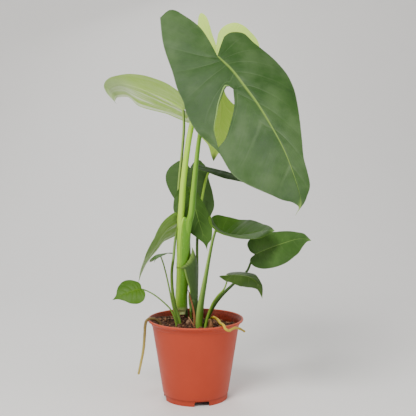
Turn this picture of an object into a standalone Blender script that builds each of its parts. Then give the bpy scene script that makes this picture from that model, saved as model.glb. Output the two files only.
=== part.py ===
"""A potted monstera: a young plant of twelve leaves in a thin plastic nursery pot.

Metres, +Z up. The origin is on the pot's axis at floor level, and -Y is the plant's front.
"""

import math
from dataclasses import dataclass

import bmesh
import bpy
import numpy as np

PLANT = "potted_monstera"
CUTTERS = "cutters"
GAP = 0.0003

# The pot: a tapered shell that flares into a thin lip, a raised base and a notched foot ring
POT_HEIGHT = 0.142
RIM_RADIUS = 0.085
LIP_INNER_RADIUS = 0.0822
LIP_DEPTH = 0.004
COLLAR_FOOT = 0.130
COLLAR_TOP = 0.1355
COLLAR_RADIUS = 0.0793
COLLAR_STEP = 0.0008
BODY_TOP_RADIUS = 0.0771
BODY_FOOT_RADIUS = 0.0583
FOOT_RADIUS = 0.0568
FOOT_WALL = 0.0022
WALL = 0.0015
BASE_HEIGHT = 0.0105
TURN_STEPS = 48
NOTCH_WIDTH = 0.026
NOTCH_HEIGHT = 0.0085
NOTCH_CORNER = 0.003
NOTCH_TURN = math.radians(12)
DRAIN_RADIUS = 0.0045
DRAIN_CIRCLE = 0.038
DRAINS = 8

# The soil: heaped up round the main stem and at both sides, lower at the back
SOIL_LEVEL = 0.1275
SOIL_TILT = (-0.055, -0.03)
SOIL_RELIEF = 0.0014
SOIL_RINGS = 7
SOIL_STEPS = 40
STEM_DEPTH = 0.026
PLUMB = 0.002
HOLE_CLEARANCE = 0.0007
HOLE_STEPS = 10

# The main stem, which forks into the two tallest leaf stalks
STEM_FOOT = (-0.0245, 0.034)
STEM_SIDES = 14
# Each mound's centre, how high it is and how wide
SOIL_MOUNDS = ((STEM_FOOT, 0.0075, 0.016), ((-0.062, 0.020), 0.0060, 0.035),
               ((0.064, 0.004), 0.0075, 0.020))
STRIP_WIDTH = 0.0034
STRIP_THICKNESS = 0.001

BLADE_THICKNESS = 0.0008
RIB_THICKNESS = 0.0016
STALK_CLEARANCE = 0.0005
VEIN_BOW = 1.3
VEIN_SPREAD = 0.1
HOLE_REACH = 5
RIB_RISE = 4.0
TUBE_POINTS = 13

LEAF_GREEN = (0.075, 0.19, 0.045)
DARK_GREEN = (0.035, 0.09, 0.025)
PALE_GREEN = (0.42, 0.60, 0.18)
UNDERSIDE_GREEN = (0.33, 0.48, 0.17)
BRIGHT_GREEN = (0.16, 0.33, 0.05)
STALK_GREEN = (0.22, 0.42, 0.07)
PALE_STALK = (0.52, 0.66, 0.18)
DARK_STALK = (0.09, 0.19, 0.03)
SHEATH_GREEN = (0.11, 0.19, 0.08)
DRIED_BROWN = (0.33, 0.14, 0.05)
ROOT_BROWN = (0.36, 0.26, 0.09)
PEAT_BROWN = (0.045, 0.025, 0.014)
TERRACOTTA = (0.51, 0.095, 0.045)


def clear_scene():
    """Removes every object, so that only the plant is left in the scene."""
    for thing in list(bpy.data.objects):
        bpy.data.objects.remove(thing, do_unlink=True)


def collection(name, hidden=False):
    made = bpy.data.collections.new(name)
    bpy.context.scene.collection.children.link(made)
    made.hide_render = hidden
    return made


def material(name, colour, roughness):
    made = bpy.data.materials.new(name)
    made.use_nodes = True
    shader = made.node_tree.nodes["Principled BSDF"]
    shader.inputs["Base Color"].default_value = (*colour, 1.0)
    shader.inputs["Roughness"].default_value = roughness
    shader.inputs["Metallic"].default_value = 0.0
    return made


def place(name, data, colour, roughness, into=PLANT):
    """A new object of this mesh or curve, with its own material, in a collection."""
    thing = bpy.data.objects.new(name, data)
    bpy.data.collections[into].objects.link(thing)
    data.materials.append(material(name, colour, roughness))
    return thing


def mesh_of(name, form):
    """The bmesh as a smooth-shaded mesh, with sharp edges where it turns by more than 40 degrees."""
    data = bpy.data.meshes.new(name)
    form.to_mesh(data)
    form.free()
    data.shade_smooth()
    data.set_sharp_from_angle(angle=math.radians(40))
    return data


def smooth_path(points, count):
    """Evenly spaced points on a smooth curve through the given ones."""
    knots = np.array(points, float)
    steps = np.sqrt(np.linalg.norm(np.diff(knots, axis=0), axis=1))
    ends = np.concatenate([[0.0], np.cumsum(steps)])
    padded = np.vstack([2 * knots[0] - knots[1], knots, 2 * knots[-1] - knots[-2]])
    times = np.concatenate([[ends[0] - steps[0]], ends, [ends[-1] + steps[-1]]])
    fine = []
    for i in range(len(knots) - 1):
        p, t = padded[i:i + 4], times[i:i + 4]
        for x in np.linspace(t[1], t[2], 16, endpoint=i == len(knots) - 2):
            a = [(t[k + 1] - x) / (t[k + 1] - t[k]) * p[k]
                 + (x - t[k]) / (t[k + 1] - t[k]) * p[k + 1] for k in range(3)]
            b = [(t[k + 2] - x) / (t[k + 2] - t[k]) * a[k]
                 + (x - t[k]) / (t[k + 2] - t[k]) * a[k + 1] for k in range(2)]
            fine.append((t[2] - x) / (t[2] - t[1]) * b[0] + (x - t[1]) / (t[2] - t[1]) * b[1])
    fine = np.array(fine)
    along = np.concatenate([[0.0], np.cumsum(np.linalg.norm(np.diff(fine, axis=0), axis=1))])
    wanted = np.linspace(0.0, along[-1], count)
    return np.stack([np.interp(wanted, along, fine[:, k]) for k in range(fine.shape[1])], axis=1)


def tube(name, start, route, radii, colour, points):
    """A round stalk or root that rises plumb from its start and then follows a smooth route.

    Its radius is eased from each of the radii to the next, evenly along the route.
    """
    path = np.vstack([start, smooth_path(route, points)])
    along = np.linspace(0.0, len(radii) - 1, points)
    radius = np.concatenate([radii[:1], np.interp(along, range(len(radii)), radii)])
    data = bpy.data.curves.new(name, "CURVE")
    data.dimensions = "3D"
    data.bevel_depth = 1.0
    data.bevel_resolution = 2
    data.use_fill_caps = True
    line = data.splines.new("POLY")
    line.points.add(len(path) - 1)
    line.use_smooth = True
    for knot, spot, size in zip(line.points, path, radius):
        knot.co = (*spot, 1.0)
        knot.radius = size
    place(name, data, colour, 0.45)


def rooted(name, spot, route, radii, colour, points):
    """A tube that stands in the soil; returns the hole it stands in."""
    base = (*spot, soil_height(*spot) + PLUMB)
    tube(name, (*spot, SOIL_LEVEL - STEM_DEPTH), [base] + route, radii, colour, points)
    return {name: (*spot, radii[0])}


def turned(name, profile, colour, roughness, steps=TURN_STEPS):
    """A shape turned about Z from a profile of (radius, height) points."""
    form = bmesh.new()
    corners = [form.verts.new((radius, 0.0, height)) for radius, height in profile]
    for first, second in zip(corners, corners[1:]):
        form.edges.new((first, second))
    thing = place(name, mesh_of(name, form), colour, roughness)
    turn = thing.modifiers.new("turn", "SCREW")
    turn.steps = turn.render_steps = steps
    turn.use_merge_vertices = True
    turn.merge_threshold = 0.00005
    turn.use_smooth_shade = True
    return thing


def cutter(name, form):
    data = bpy.data.meshes.new(name)
    form.to_mesh(data)
    form.free()
    thing = bpy.data.objects.new(name, data)
    bpy.data.collections[CUTTERS].objects.link(thing)
    thing.hide_render = True
    thing.display_type = "WIRE"
    return thing


def cut(thing, tool):
    boolean = thing.modifiers.new(tool.name, "BOOLEAN")
    boolean.object = tool
    boolean.operation = "DIFFERENCE"


def pot_wall_radius(height):
    """The inner face of the pot's wall at this height."""
    share = (height - BASE_HEIGHT) / (COLLAR_FOOT - BASE_HEIGHT)
    outer = BODY_FOOT_RADIUS + share * (BODY_TOP_RADIUS - BODY_FOOT_RADIUS)
    return outer - WALL


def make_pot():
    profile = [
        (0.0, BASE_HEIGHT + WALL),
        (pot_wall_radius(BASE_HEIGHT + WALL), BASE_HEIGHT + WALL),
        (BODY_TOP_RADIUS - WALL, COLLAR_FOOT),
        (COLLAR_RADIUS - WALL, COLLAR_TOP),
        (LIP_INNER_RADIUS, POT_HEIGHT),
        (RIM_RADIUS - 0.001, POT_HEIGHT),
        (RIM_RADIUS, POT_HEIGHT - 0.0012),
        (RIM_RADIUS - 0.0004, POT_HEIGHT - LIP_DEPTH),
        (COLLAR_RADIUS, COLLAR_TOP),
        (BODY_TOP_RADIUS + COLLAR_STEP, COLLAR_FOOT),
        (BODY_TOP_RADIUS, COLLAR_FOOT - 0.0004),
        (BODY_FOOT_RADIUS, BASE_HEIGHT + WALL),
        (FOOT_RADIUS, 0.0),
        (FOOT_RADIUS - FOOT_WALL, 0.0),
        (FOOT_RADIUS - FOOT_WALL, BASE_HEIGHT),
        (0.0, BASE_HEIGHT),
    ]
    pot = turned("pot", profile, TERRACOTTA, 0.42)
    for quarter in range(2):
        form = bmesh.new()
        bmesh.ops.create_cube(form, size=1.0)
        bmesh.ops.scale(form, vec=(NOTCH_WIDTH, 3 * RIM_RADIUS, 2 * NOTCH_HEIGHT), verts=form.verts)
        long_edges = [e for e in form.edges
                      if abs(e.verts[0].co.y - e.verts[1].co.y) > RIM_RADIUS and e.verts[0].co.z > 0]
        bmesh.ops.bevel(form, geom=long_edges, offset=NOTCH_CORNER, segments=3, profile=0.5,
                        affect="EDGES")
        tool = cutter(f"notch_{quarter}", form)
        tool.rotation_euler.z = NOTCH_TURN + quarter * math.pi / 2
        cut(pot, tool)
    for drain in range(DRAINS):
        turn = NOTCH_TURN + (drain + 0.5) * math.tau / DRAINS
        form = bmesh.new()
        bmesh.ops.create_cone(form, cap_ends=True, segments=HOLE_STEPS, radius1=DRAIN_RADIUS,
                              radius2=DRAIN_RADIUS, depth=4 * WALL)
        tool = cutter(f"drain_{drain}", form)
        tool.location = (DRAIN_CIRCLE * math.cos(turn), DRAIN_CIRCLE * math.sin(turn),
                         BASE_HEIGHT + WALL / 2)
        cut(pot, tool)


def soil_height(x, y):
    """The peat's surface: a tilt, low waves, and mounds at the main stem and at both sides."""
    level = SOIL_LEVEL + SOIL_TILT[0] * x + SOIL_TILT[1] * y
    waves = math.sin(190 * x + 1.3) * math.cos(170 * y) + 0.7 * math.sin(330 * x - 250 * y)
    mounds = sum(rise * math.exp(-((x - centre[0]) ** 2 + (y - centre[1]) ** 2) / width ** 2)
                 for centre, rise, width in SOIL_MOUNDS)
    return level + SOIL_RELIEF * waves + mounds


def make_soil(holes):
    """The peat, which fills the pot, with a plain hole for each stem that stands in it."""
    floor = BASE_HEIGHT + WALL + GAP
    form = bmesh.new()
    profile = [(0.0, SOIL_LEVEL)]
    profile += [(ring / SOIL_RINGS, SOIL_LEVEL) for ring in range(1, SOIL_RINGS + 1)]
    profile += [(1.0, floor), (0.0, floor)]
    corners = [form.verts.new((share, 0.0, height)) for share, height in profile]
    wires = [form.edges.new(pair) for pair in zip(corners, corners[1:])]
    bmesh.ops.spin(form, geom=corners + wires, cent=(0, 0, 0), axis=(0, 0, 1),
                   angle=math.tau, steps=SOIL_STEPS, use_merge=True)
    bmesh.ops.remove_doubles(form, verts=form.verts, dist=0.0001)
    for vert in form.verts:
        spread = math.hypot(vert.co.x, vert.co.y)
        if vert.co.z > floor + GAP:
            reach = pot_wall_radius(SOIL_LEVEL) * spread
            around = math.atan2(vert.co.y, vert.co.x)
            height = soil_height(reach * math.cos(around), reach * math.sin(around))
        else:
            height = floor
        wide = (pot_wall_radius(height) - 2 * GAP)
        vert.co = (vert.co.x * wide, vert.co.y * wide, height)
    bmesh.ops.triangulate(form, faces=form.faces)
    bmesh.ops.recalc_face_normals(form, faces=form.faces)
    soil = place("soil", mesh_of("soil", form), PEAT_BROWN, 0.95)
    for name, (x, y, radius) in holes.items():
        form = bmesh.new()
        bmesh.ops.create_cone(form, cap_ends=True, segments=HOLE_STEPS, depth=3 * STEM_DEPTH,
                              radius1=radius + HOLE_CLEARANCE, radius2=radius + HOLE_CLEARANCE)
        tool = cutter(f"hole_{name}", form)
        tool.location = (x, y, SOIL_LEVEL - STEM_DEPTH - GAP + 1.5 * STEM_DEPTH)
        cut(soil, tool)


# Half of a heart-shaped blade: shares of the half width, and of the length beyond the stalk's
# end. Points behind the stalk's end are shares of the lobe's reach.
HEART = [
    (0.00, 0.00), (0.10, -0.62), (0.30, -0.98), (0.58, -0.88), (0.84, -0.36), (0.97, 0.10),
    (1.00, 0.22), (0.95, 0.40), (0.80, 0.60), (0.54, 0.78), (0.24, 0.90), (0.07, 0.955),
    (0.00, 1.00),
]


@dataclass
class Hole:
    """An opening between two side veins: its first row and column, and its two rims.

    The rims run from the midrib outwards, in shares of the half width and of the length.
    """

    is_right: bool
    row: int
    column: int
    rims: tuple

    def bounds(self, row, column):
        """Whether this grid point lies on one of the two rims."""
        return row - self.row in (0, 1) and 0 <= column - self.column < len(self.rims[0])


@dataclass
class Leaf:
    """One leaf: its blade, bent along a midrib, and the stalk that carries it.

    Right and left are the leaf's own, seen on its upper side with the tip pointing away.
    Fold is how far each half rises from the midrib, at the base and at the tip, and curl is
    how far it bends back down towards its margin, all in degrees.
    """

    name: str
    midrib: list
    up: tuple
    right: float
    left: float
    lobe_right: float
    lobe_left: float
    colour: tuple
    up_tip: tuple = None
    fold_right: tuple = (12, 5)
    fold_left: tuple = (12, 5)
    curl_right: float = 30
    curl_left: float = 30
    notch_right: int = 0
    notch_left: int = 0
    rows: int = 12
    columns: int = 6
    vein: float = 2.4
    hole: object = None
    route: list = None
    radii: tuple = (0.002, 0.0015)
    foot: tuple = None
    stalk_colour: tuple = STALK_GREEN
    clearance: float = STALK_CLEARANCE
    half_right: tuple = tuple(HEART)
    half_left: tuple = tuple(HEART)


def outline(half, width, lobe, length):
    """One half's outline, from the stalk's end round the lobe to the tip, at its real size."""
    return [(across * width, along * (lobe if along < 0 else length)) for across, along in half]


class Bend:
    """Places a flat blade's points on its midrib curve."""

    def __init__(self, leaf):
        self.leaf = leaf
        self.path = smooth_path(leaf.midrib, 60)
        steps = np.linalg.norm(np.diff(self.path, axis=0), axis=1)
        self.stations = np.concatenate([[0.0], np.cumsum(steps)])
        self.length = self.stations[-1]
        self.tangents = np.gradient(self.path, axis=0)

    def frame(self, along):
        """The midrib's point, direction, right side and upper side at this length along it."""
        reach = min(max(along, 0.0), self.length)
        at = np.array([np.interp(reach, self.stations, self.path[:, k]) for k in range(3)])
        direction = np.array([np.interp(reach, self.stations, self.tangents[:, k]) for k in range(3)])
        direction /= np.linalg.norm(direction)
        share = reach / self.length
        up = np.array(self.leaf.up, float)
        if self.leaf.up_tip:
            up = (1 - share) * up / np.linalg.norm(up) + share * np.array(self.leaf.up_tip)
        up -= direction * (up @ direction)
        up /= np.linalg.norm(up)
        right = np.cross(direction, up)
        return at, direction, right, up, share

    def point(self, is_right, out, along):
        """The bent place of a flat point of one half, out from the midrib and along it."""
        leaf = self.leaf
        at, direction, right, up, share = self.frame(along)
        width = leaf.right if is_right else leaf.left
        fold = leaf.fold_right if is_right else leaf.fold_left
        curl = math.radians(leaf.curl_right if is_right else leaf.curl_left)
        start = math.radians(fold[0] + (fold[1] - fold[0]) * share)
        turn = curl * out / width
        side = width / curl * (math.sin(start) - math.sin(start - turn))
        rise = width / curl * (math.cos(start - turn) - math.cos(start))
        behind = max(-along, 0.0)
        return at - direction * behind + right * (side if is_right else -side) + up * rise


def flat_half(corners, notch, vein, rows, columns):
    """One half's flat grid points: each row is a side vein from the midrib to the margin.

    The outline's first points, up to the notch's number, are the notch's edge, and this edge
    is the first row.
    """
    edge = smooth_path(corners[notch:], rows + 1)
    shares = np.linspace(0.0, 1.0, rows + 1)
    stations = edge[-1][1] * (VEIN_SPREAD * shares + (1 - VEIN_SPREAD) * shares ** vein)
    out = np.linspace(0.0, 1.0, columns + 1)
    across = edge[:, :1] * out
    along = stations[:, None] + (edge[:, 1:] - stations[:, None]) * out ** VEIN_BOW
    flat = np.stack([across, along], axis=2)
    if notch:
        flat[0] = smooth_path(corners[:notch + 1], columns + 1)
    return flat


def open_hole(flat, hole, width, length):
    """Moves the two veins beside an opening to its rims, and eases the veins around them."""
    last = flat.shape[1] - 1
    for side, rim in enumerate(hole.rims):
        first_row = hole.row + side
        points = np.array(rim) * (width, length)
        columns = hole.column + np.arange(len(rim))
        shift = np.zeros((last + 1, 2))
        shift[columns] = points - flat[first_row, columns]
        for column in range(hole.column):
            shift[column] = shift[hole.column] * column / hole.column
        for column in range(columns[-1] + 1, last):
            shift[column] = shift[columns[-1]] * (last - column) / (last - columns[-1])
        for away in range(HOLE_REACH):
            row = first_row - away if side == 0 else first_row + away
            flat[row] += shift * (1 - away / HOLE_REACH)


def make_blade(leaf, bend):
    """A grid whose rows are the side veins, bent to its midrib and then given its thickness."""
    half = leaf.columns // 2
    right = outline(leaf.half_right, leaf.right, leaf.lobe_right, bend.length)
    left = outline(leaf.half_left, leaf.left, leaf.lobe_left, bend.length)
    flats = {
        True: flat_half(right, leaf.notch_right, leaf.vein, leaf.rows, half),
        False: flat_half(left, leaf.notch_left, leaf.vein, leaf.rows, half),
    }
    if leaf.hole:
        width = leaf.right if leaf.hole.is_right else leaf.left
        open_hole(flats[leaf.hole.is_right], leaf.hole, width, bend.length)
    form = bmesh.new()
    bmesh.ops.create_grid(form, x_segments=leaf.columns, y_segments=leaf.rows, size=1.0)
    ribs, rims = {}, set()
    for vert in form.verts:
        share = (vert.co.y + 1) / 2
        row, column = round(share * leaf.rows), round(abs(vert.co.x) * half)
        is_right = vert.co.x > 0
        if leaf.hole and leaf.hole.is_right == is_right and leaf.hole.bounds(row, column):
            rims.add(vert)
        vert.co = bend.point(is_right, *flats[is_right][row, column])
        ribs[vert.index] = min(1 - share, share * RIB_RISE) if column == 0 else 0.0
    torn = [face for face in form.faces if rims.issuperset(face.verts)]
    bmesh.ops.delete(form, geom=torn, context="FACES_ONLY")
    weights = form.verts.layers.deform.verify()
    for vert in form.verts:
        vert[weights][0] = ribs[vert.index]
    bmesh.ops.remove_doubles(form, verts=form.verts, dist=0.0002)
    bmesh.ops.triangulate(form, faces=form.faces, quad_method="SHORT_EDGE")
    name = f"leaf_{leaf.name}"
    blade = place(name, mesh_of(name, form), leaf.colour, 0.4)
    blade.vertex_groups.new(name="rib")
    shell = blade.modifiers.new("thickness", "SOLIDIFY")
    shell.thickness = RIB_THICKNESS
    shell.vertex_group = "rib"
    shell.thickness_vertex_group = BLADE_THICKNESS / RIB_THICKNESS
    shell.offset = -1.0


def make_stalk(leaf, bend):
    """The leaf's stalk, which ends against the underside of the blade's base."""
    base, _, _, up, _ = bend.frame(0.0)
    arriving = base - np.array(leaf.route[-1])
    arriving /= np.linalg.norm(arriving)
    lean = math.sqrt(max(0.0, 1.0 - (arriving @ up) ** 2))
    drop = BLADE_THICKNESS + leaf.clearance + leaf.radii[-1] * lean
    end = tuple(base - up * drop)
    name = f"stalk_{leaf.name}"
    if leaf.foot:
        return rooted(name, leaf.foot, leaf.route + [end], leaf.radii, leaf.stalk_colour, TUBE_POINTS)
    x, y, z = leaf.route[0]
    route = [(x, y, z + PLUMB)] + leaf.route[1:] + [end]
    tube(name, (x, y, z), route, leaf.radii, leaf.stalk_colour, TUBE_POINTS)
    return {}


LEAVES = [
    Leaf("big",
         midrib=[(0.038, -0.020, 0.600), (0.063, -0.035, 0.574), (0.086, -0.052, 0.542),
                 (0.107, -0.070, 0.510), (0.144, -0.112, 0.435), (0.164, -0.140, 0.370),
                 (0.166, -0.147, 0.351), (0.156, -0.154, 0.334)],
         up=(-0.19, -0.91, 0.37), right=0.110, left=0.110, lobe_right=0.135, lobe_left=0.033,
         half_right=[(0.00, 0.00), (-0.055, -0.14), (-0.10, -0.26), (-0.16, -0.50),
                     (-0.12, -0.80), (-0.05, -0.99), (0.19, -0.98), (0.48, -0.62),
                     (0.69, -0.23), (0.86, 0.03), (1.01, 0.29), (0.88, 0.50), (0.83, 0.66),
                     (0.69, 0.75), (0.28, 0.89), (0.08, 0.94), (0.015, 0.955), (0.00, 1.00)],
         half_left=[(0.00, 0.00), (0.16, -0.37), (0.33, -0.74), (0.46, -0.78), (0.60, -0.63),
                    (0.68, -0.37), (0.66, 0.05), (0.74, 0.17), (0.75, 0.25), (0.69, 0.33),
                    (0.56, 0.43), (0.32, 0.62), (0.22, 0.72), (0.20, 0.79), (0.17, 0.86),
                    (0.08, 0.91), (0.015, 0.95), (0.00, 1.00)],
         colour=LEAF_GREEN, notch_right=6, notch_left=2, rows=24, columns=14,
         vein=2.8,
         hole=Hole(True, 14, 1,
                   ([(0.176, 0.215), (0.222, 0.172), (0.400, 0.209), (0.590, 0.270), (0.775, 0.360),
                     (0.850, 0.475)],
                    [(0.176, 0.215), (0.301, 0.291), (0.430, 0.349), (0.560, 0.403), (0.690, 0.450),
                     (0.850, 0.475)])),
         fold_right=(8, 4), curl_right=15,
         fold_left=(-5, -5), curl_left=45,
         route=[(-0.012, 0.025, 0.3113), (-0.008, 0.020, 0.325), (-0.004, 0.015, 0.363),
                (0.003, 0.005, 0.433), (0.007, 0.000, 0.462), (0.019, -0.010, 0.526),
                (0.029, -0.014, 0.573)],
         radii=(0.0068, 0.0056, 0.0040, 0.0036, 0.0032)),
    Leaf("pale",
         midrib=[(0.037, 0.055, 0.630), (0.042, 0.050, 0.568), (0.044, 0.042, 0.504),
                 (0.038, 0.033, 0.453), (0.032, 0.028, 0.420)],
         up=(0.0, -1.0, 0.1), right=0.062, left=0.080, lobe_right=0.062, lobe_left=0.040,
         half_right=[(0.00, 0.00), (0.06, -0.24), (0.14, -0.56), (0.17, -0.74), (0.26, -0.93),
                     (0.38, -1.00), (0.45, -0.89), (0.50, -0.65), (0.60, -0.40), (0.84, 0.01),
                     (1.03, 0.22), (0.98, 0.49), (0.68, 0.75), (0.25, 0.87), (0.11, 0.95),
                     (0.00, 1.00)],
         half_left=[(0.00, 0.00), (0.08, -0.59), (0.18, -0.81), (0.31, -0.94), (0.47, -0.98),
                    (0.65, -0.83), (0.80, -0.54), (0.95, -0.16), (1.00, 0.05), (0.92, 0.23),
                    (0.69, 0.43), (0.46, 0.63), (0.20, 0.83), (0.07, 0.93), (0.00, 1.00)],
         colour=PALE_GREEN, rows=18, columns=10,
         hole=Hole(False, 11, 1,
                   ([(0.086, 0.330), (0.222, 0.334), (0.392, 0.414), (0.426, 0.536)],
                    [(0.086, 0.330), (0.120, 0.409), (0.247, 0.487), (0.426, 0.536)])),
         route=[(-0.028, 0.030, 0.3113), (-0.026, 0.032, 0.335), (-0.023, 0.035, 0.380),
                (-0.014, 0.043, 0.452), (-0.004, 0.055, 0.505), (0.010, 0.065, 0.570),
                (0.026, 0.070, 0.613)],
         radii=(0.0064, 0.0056, 0.0053, 0.0042, 0.0037), stalk_colour=PALE_STALK, clearance=0.0009),
    Leaf("left_high",
         midrib=[(-0.022, 0.055, 0.515), (-0.058, 0.075, 0.536), (-0.097, 0.097, 0.555),
                 (-0.132, 0.116, 0.568), (-0.157, 0.129, 0.571), (-0.171, 0.130, 0.562),
                 (-0.167, 0.122, 0.548), (-0.153, 0.108, 0.531)],
         up=(0.35, 0.55, 0.74), up_tip=(-0.8, 0.4, 0.2), right=0.055, left=0.055,
         lobe_right=0.014, lobe_left=0.014,
         half_right=[(0.00, 0.00), (0.12, -0.6), (0.35, -0.95), (0.55, -0.6), (0.58, 0.00),
                     (0.67, 0.19), (0.82, 0.36), (0.87, 0.50), (0.82, 0.66), (0.62, 0.80),
                     (0.38, 0.88), (0.16, 0.94), (0.00, 1.00)],
         half_left=[(0.00, 0.00), (0.12, -0.55), (0.35, -0.9), (0.62, -0.55), (0.74, 0.06),
                    (0.79, 0.20), (0.70, 0.39), (0.55, 0.52), (0.42, 0.66), (0.34, 0.78),
                    (0.22, 0.88), (0.08, 0.95), (0.00, 1.00)],
         colour=UNDERSIDE_GREEN, rows=14, fold_right=(2, 2), fold_left=(6, 4), curl_right=12,
         curl_left=10,
         foot=(-0.029, 0.054),
         route=[(-0.033, 0.068, 0.200), (-0.034, 0.080, 0.340), (-0.031, 0.071, 0.389),
                (-0.026, 0.060, 0.435), (-0.022, 0.052, 0.485)],
         radii=(0.003, 0.003, 0.0025)),
    Leaf("round_back",
         midrib=[(-0.012, 0.100, 0.408), (-0.003, 0.099, 0.367), (0.009, 0.094, 0.319),
                 (0.018, 0.088, 0.280)],
         up=(0.0, -0.95, 0.25), right=0.050, left=0.036, lobe_right=0.022, lobe_left=0.02,
         half_right=[(0.00, 0.00), (0.11, -0.52), (0.34, -0.83), (0.51, -0.73), (0.78, -0.41),
                     (0.96, 0.01), (1.02, 0.12), (0.95, 0.27), (0.76, 0.46), (0.46, 0.73),
                     (0.15, 0.92), (0.00, 1.00)],
         half_left=[(0.00, 0.00), (0.27, -0.5), (0.60, -0.55), (0.72, -0.21), (0.81, 0.00),
                    (0.86, 0.25), (0.89, 0.39), (0.83, 0.58), (0.73, 0.65), (0.50, 0.73),
                    (0.22, 0.87), (0.05, 0.96), (0.00, 1.00)],
         colour=DARK_GREEN,
         foot=(-0.018, 0.056),
         route=[(-0.019, 0.066, 0.170), (-0.019, 0.088, 0.230), (-0.016, 0.106, 0.300),
                (-0.013, 0.113, 0.360), (-0.012, 0.112, 0.392)],
         radii=(0.0026, 0.0024, 0.002), stalk_colour=DARK_STALK, clearance=0.0007),
    Leaf("middle",
         midrib=[(-0.014, 0.069, 0.3725), (-0.004, 0.062, 0.3405), (0.007, 0.052, 0.3040),
                 (0.016, 0.045, 0.2765), (0.021, 0.041, 0.2565)],
         up=(0.2, -0.8, 0.5), right=0.040, left=0.028, lobe_right=0.012, lobe_left=0.012,
         half_right=[(0.00, 0.00), (0.20, -0.39), (0.54, 0.00), (0.81, 0.10), (0.99, 0.23),
                     (1.02, 0.31), (0.86, 0.48), (0.63, 0.64), (0.25, 0.81), (0.09, 0.88),
                     (0.02, 0.95), (0.00, 1.00)],
         half_left=[(0.00, 0.00), (0.21, 0.02), (0.46, 0.10), (0.56, 0.20), (0.87, 0.46),
                    (0.88, 0.58), (0.73, 0.72), (0.45, 0.85), (0.16, 0.90), (0.03, 0.96),
                    (0.00, 1.00)],
         colour=BRIGHT_GREEN,
         foot=(-0.010, 0.056),
         route=[(-0.010, 0.060, 0.180), (-0.012, 0.071, 0.240), (-0.014, 0.078, 0.300),
                (-0.015, 0.080, 0.345)],
         radii=(0.0022, 0.002, 0.0018)),
    Leaf("left_hanging",
         midrib=[(-0.033, 0.046, 0.311), (-0.055, 0.038, 0.295), (-0.071, 0.030, 0.272),
                 (-0.084, 0.022, 0.250), (-0.095, 0.016, 0.227), (-0.103, 0.012, 0.204)],
         up=(-0.7, 0.6, 0.5), right=0.045, left=0.030, lobe_right=0.005, lobe_left=0.003,
         half_right=[(0.00, 0.00), (0.15, -0.5), (0.40, -0.6), (0.62, -0.1), (0.78, 0.13),
                     (0.66, 0.26), (0.44, 0.35), (0.36, 0.45), (0.26, 0.57), (0.16, 0.68),
                     (0.06, 0.78), (0.02, 0.89), (0.00, 1.00)],
         half_left=[(0.00, 0.00), (0.20, -0.6), (0.60, -0.8), (0.95, -0.2), (1.00, 0.15),
                    (0.90, 0.30), (0.81, 0.42), (0.75, 0.56), (0.55, 0.74), (0.34, 0.86),
                    (0.10, 0.95), (0.00, 1.00)],
         colour=UNDERSIDE_GREEN, fold_right=(10, 10), fold_left=(0, -20), curl_right=15,
         curl_left=5,
         foot=(-0.029, -0.001),
         route=[(-0.036, 0.004, 0.158), (-0.041, 0.008, 0.184), (-0.043, 0.013, 0.220),
                (-0.0400, 0.025, 0.250), (-0.0380, 0.037, 0.276)],
         radii=(0.0036, 0.0027, 0.0021)),
    Leaf("left_thin",
         midrib=[(-0.063, 0.000, 0.2555), (-0.065, -0.018, 0.2575), (-0.067, -0.034, 0.2585),
                 (-0.0685, -0.040, 0.2545), (-0.0705, -0.0425, 0.247)],
         up=(-0.35, 0.1, 0.95), right=0.021, left=0.024, lobe_right=0.008, lobe_left=0.008,
         colour=DARK_GREEN, rows=10, fold_right=(-5, -5), fold_left=(-5, -8), curl_right=35,
         curl_left=20,
         foot=(-0.0323, -0.008),
         route=[(-0.0405, -0.007, 0.166), (-0.048, -0.006, 0.203), (-0.056, -0.004, 0.236)],
         radii=(0.0026, 0.0015, 0.0012), clearance=0.0012),
    Leaf("right_folded",
         midrib=[(0.0350, -0.030, 0.3010), (0.0430, -0.036, 0.2975), (0.0530, -0.045, 0.2943),
                 (0.0640, -0.056, 0.2940), (0.0750, -0.067, 0.2960), (0.0840, -0.076, 0.2980),
                 (0.1000, -0.092, 0.3028), (0.1165, -0.108, 0.3080), (0.1280, -0.120, 0.3080)],
         up=(-0.1, -0.5, 0.85), right=0.045, left=0.048, lobe_right=0.020, lobe_left=0.020,
         half_right=[(0.00, 0.00), (0.13, -0.44), (0.57, -0.43), (0.92, 0.00), (1.00, 0.15),
                     (0.95, 0.35), (0.85, 0.50), (0.76, 0.64), (0.66, 0.76), (0.54, 0.86),
                     (0.36, 0.93), (0.13, 0.97), (0.00, 1.00)],
         half_left=[(0.00, 0.00), (0.24, -0.8), (0.45, -1.3), (0.62, -1.15), (0.73, -0.4),
                    (0.85, 0.07), (0.98, 0.26), (0.71, 0.55), (0.27, 0.83), (0.11, 0.93),
                    (0.00, 1.00)],
         colour=LEAF_GREEN, rows=14, fold_right=(75, -12), fold_left=(12, 8), curl_right=5,
         curl_left=10,
         foot=(0.006, -0.013),
         route=[(0.009, -0.016, 0.166), (0.017, -0.020, 0.213), (0.024, -0.024, 0.252),
                (0.030, -0.027, 0.282)],
         radii=(0.0054, 0.0066, 0.0050, 0.0037, 0.0028, 0.0022)),
    Leaf("left_heart",
         midrib=[(-0.095, -0.012, 0.196), (-0.110, -0.015, 0.193), (-0.127, -0.019, 0.187),
                 (-0.145, -0.022, 0.178)],
         up=(0.1, -0.7, 0.6), right=0.024, left=0.024, lobe_right=0.010, lobe_left=0.010,
         half_right=[(0.00, 0.00), (0.27, -0.06), (0.45, 0.01), (0.62, 0.06), (0.86, 0.18),
                     (1.01, 0.28), (1.10, 0.38), (1.08, 0.50), (0.86, 0.63), (0.55, 0.73),
                     (0.24, 0.82), (0.06, 0.93), (0.00, 1.00)],
         half_left=[(0.00, 0.00), (0.06, -0.23), (0.30, -0.45), (0.59, -0.4), (0.84, -0.16),
                    (1.03, 0.05), (1.10, 0.17), (1.04, 0.37), (0.87, 0.53), (0.60, 0.63),
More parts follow.
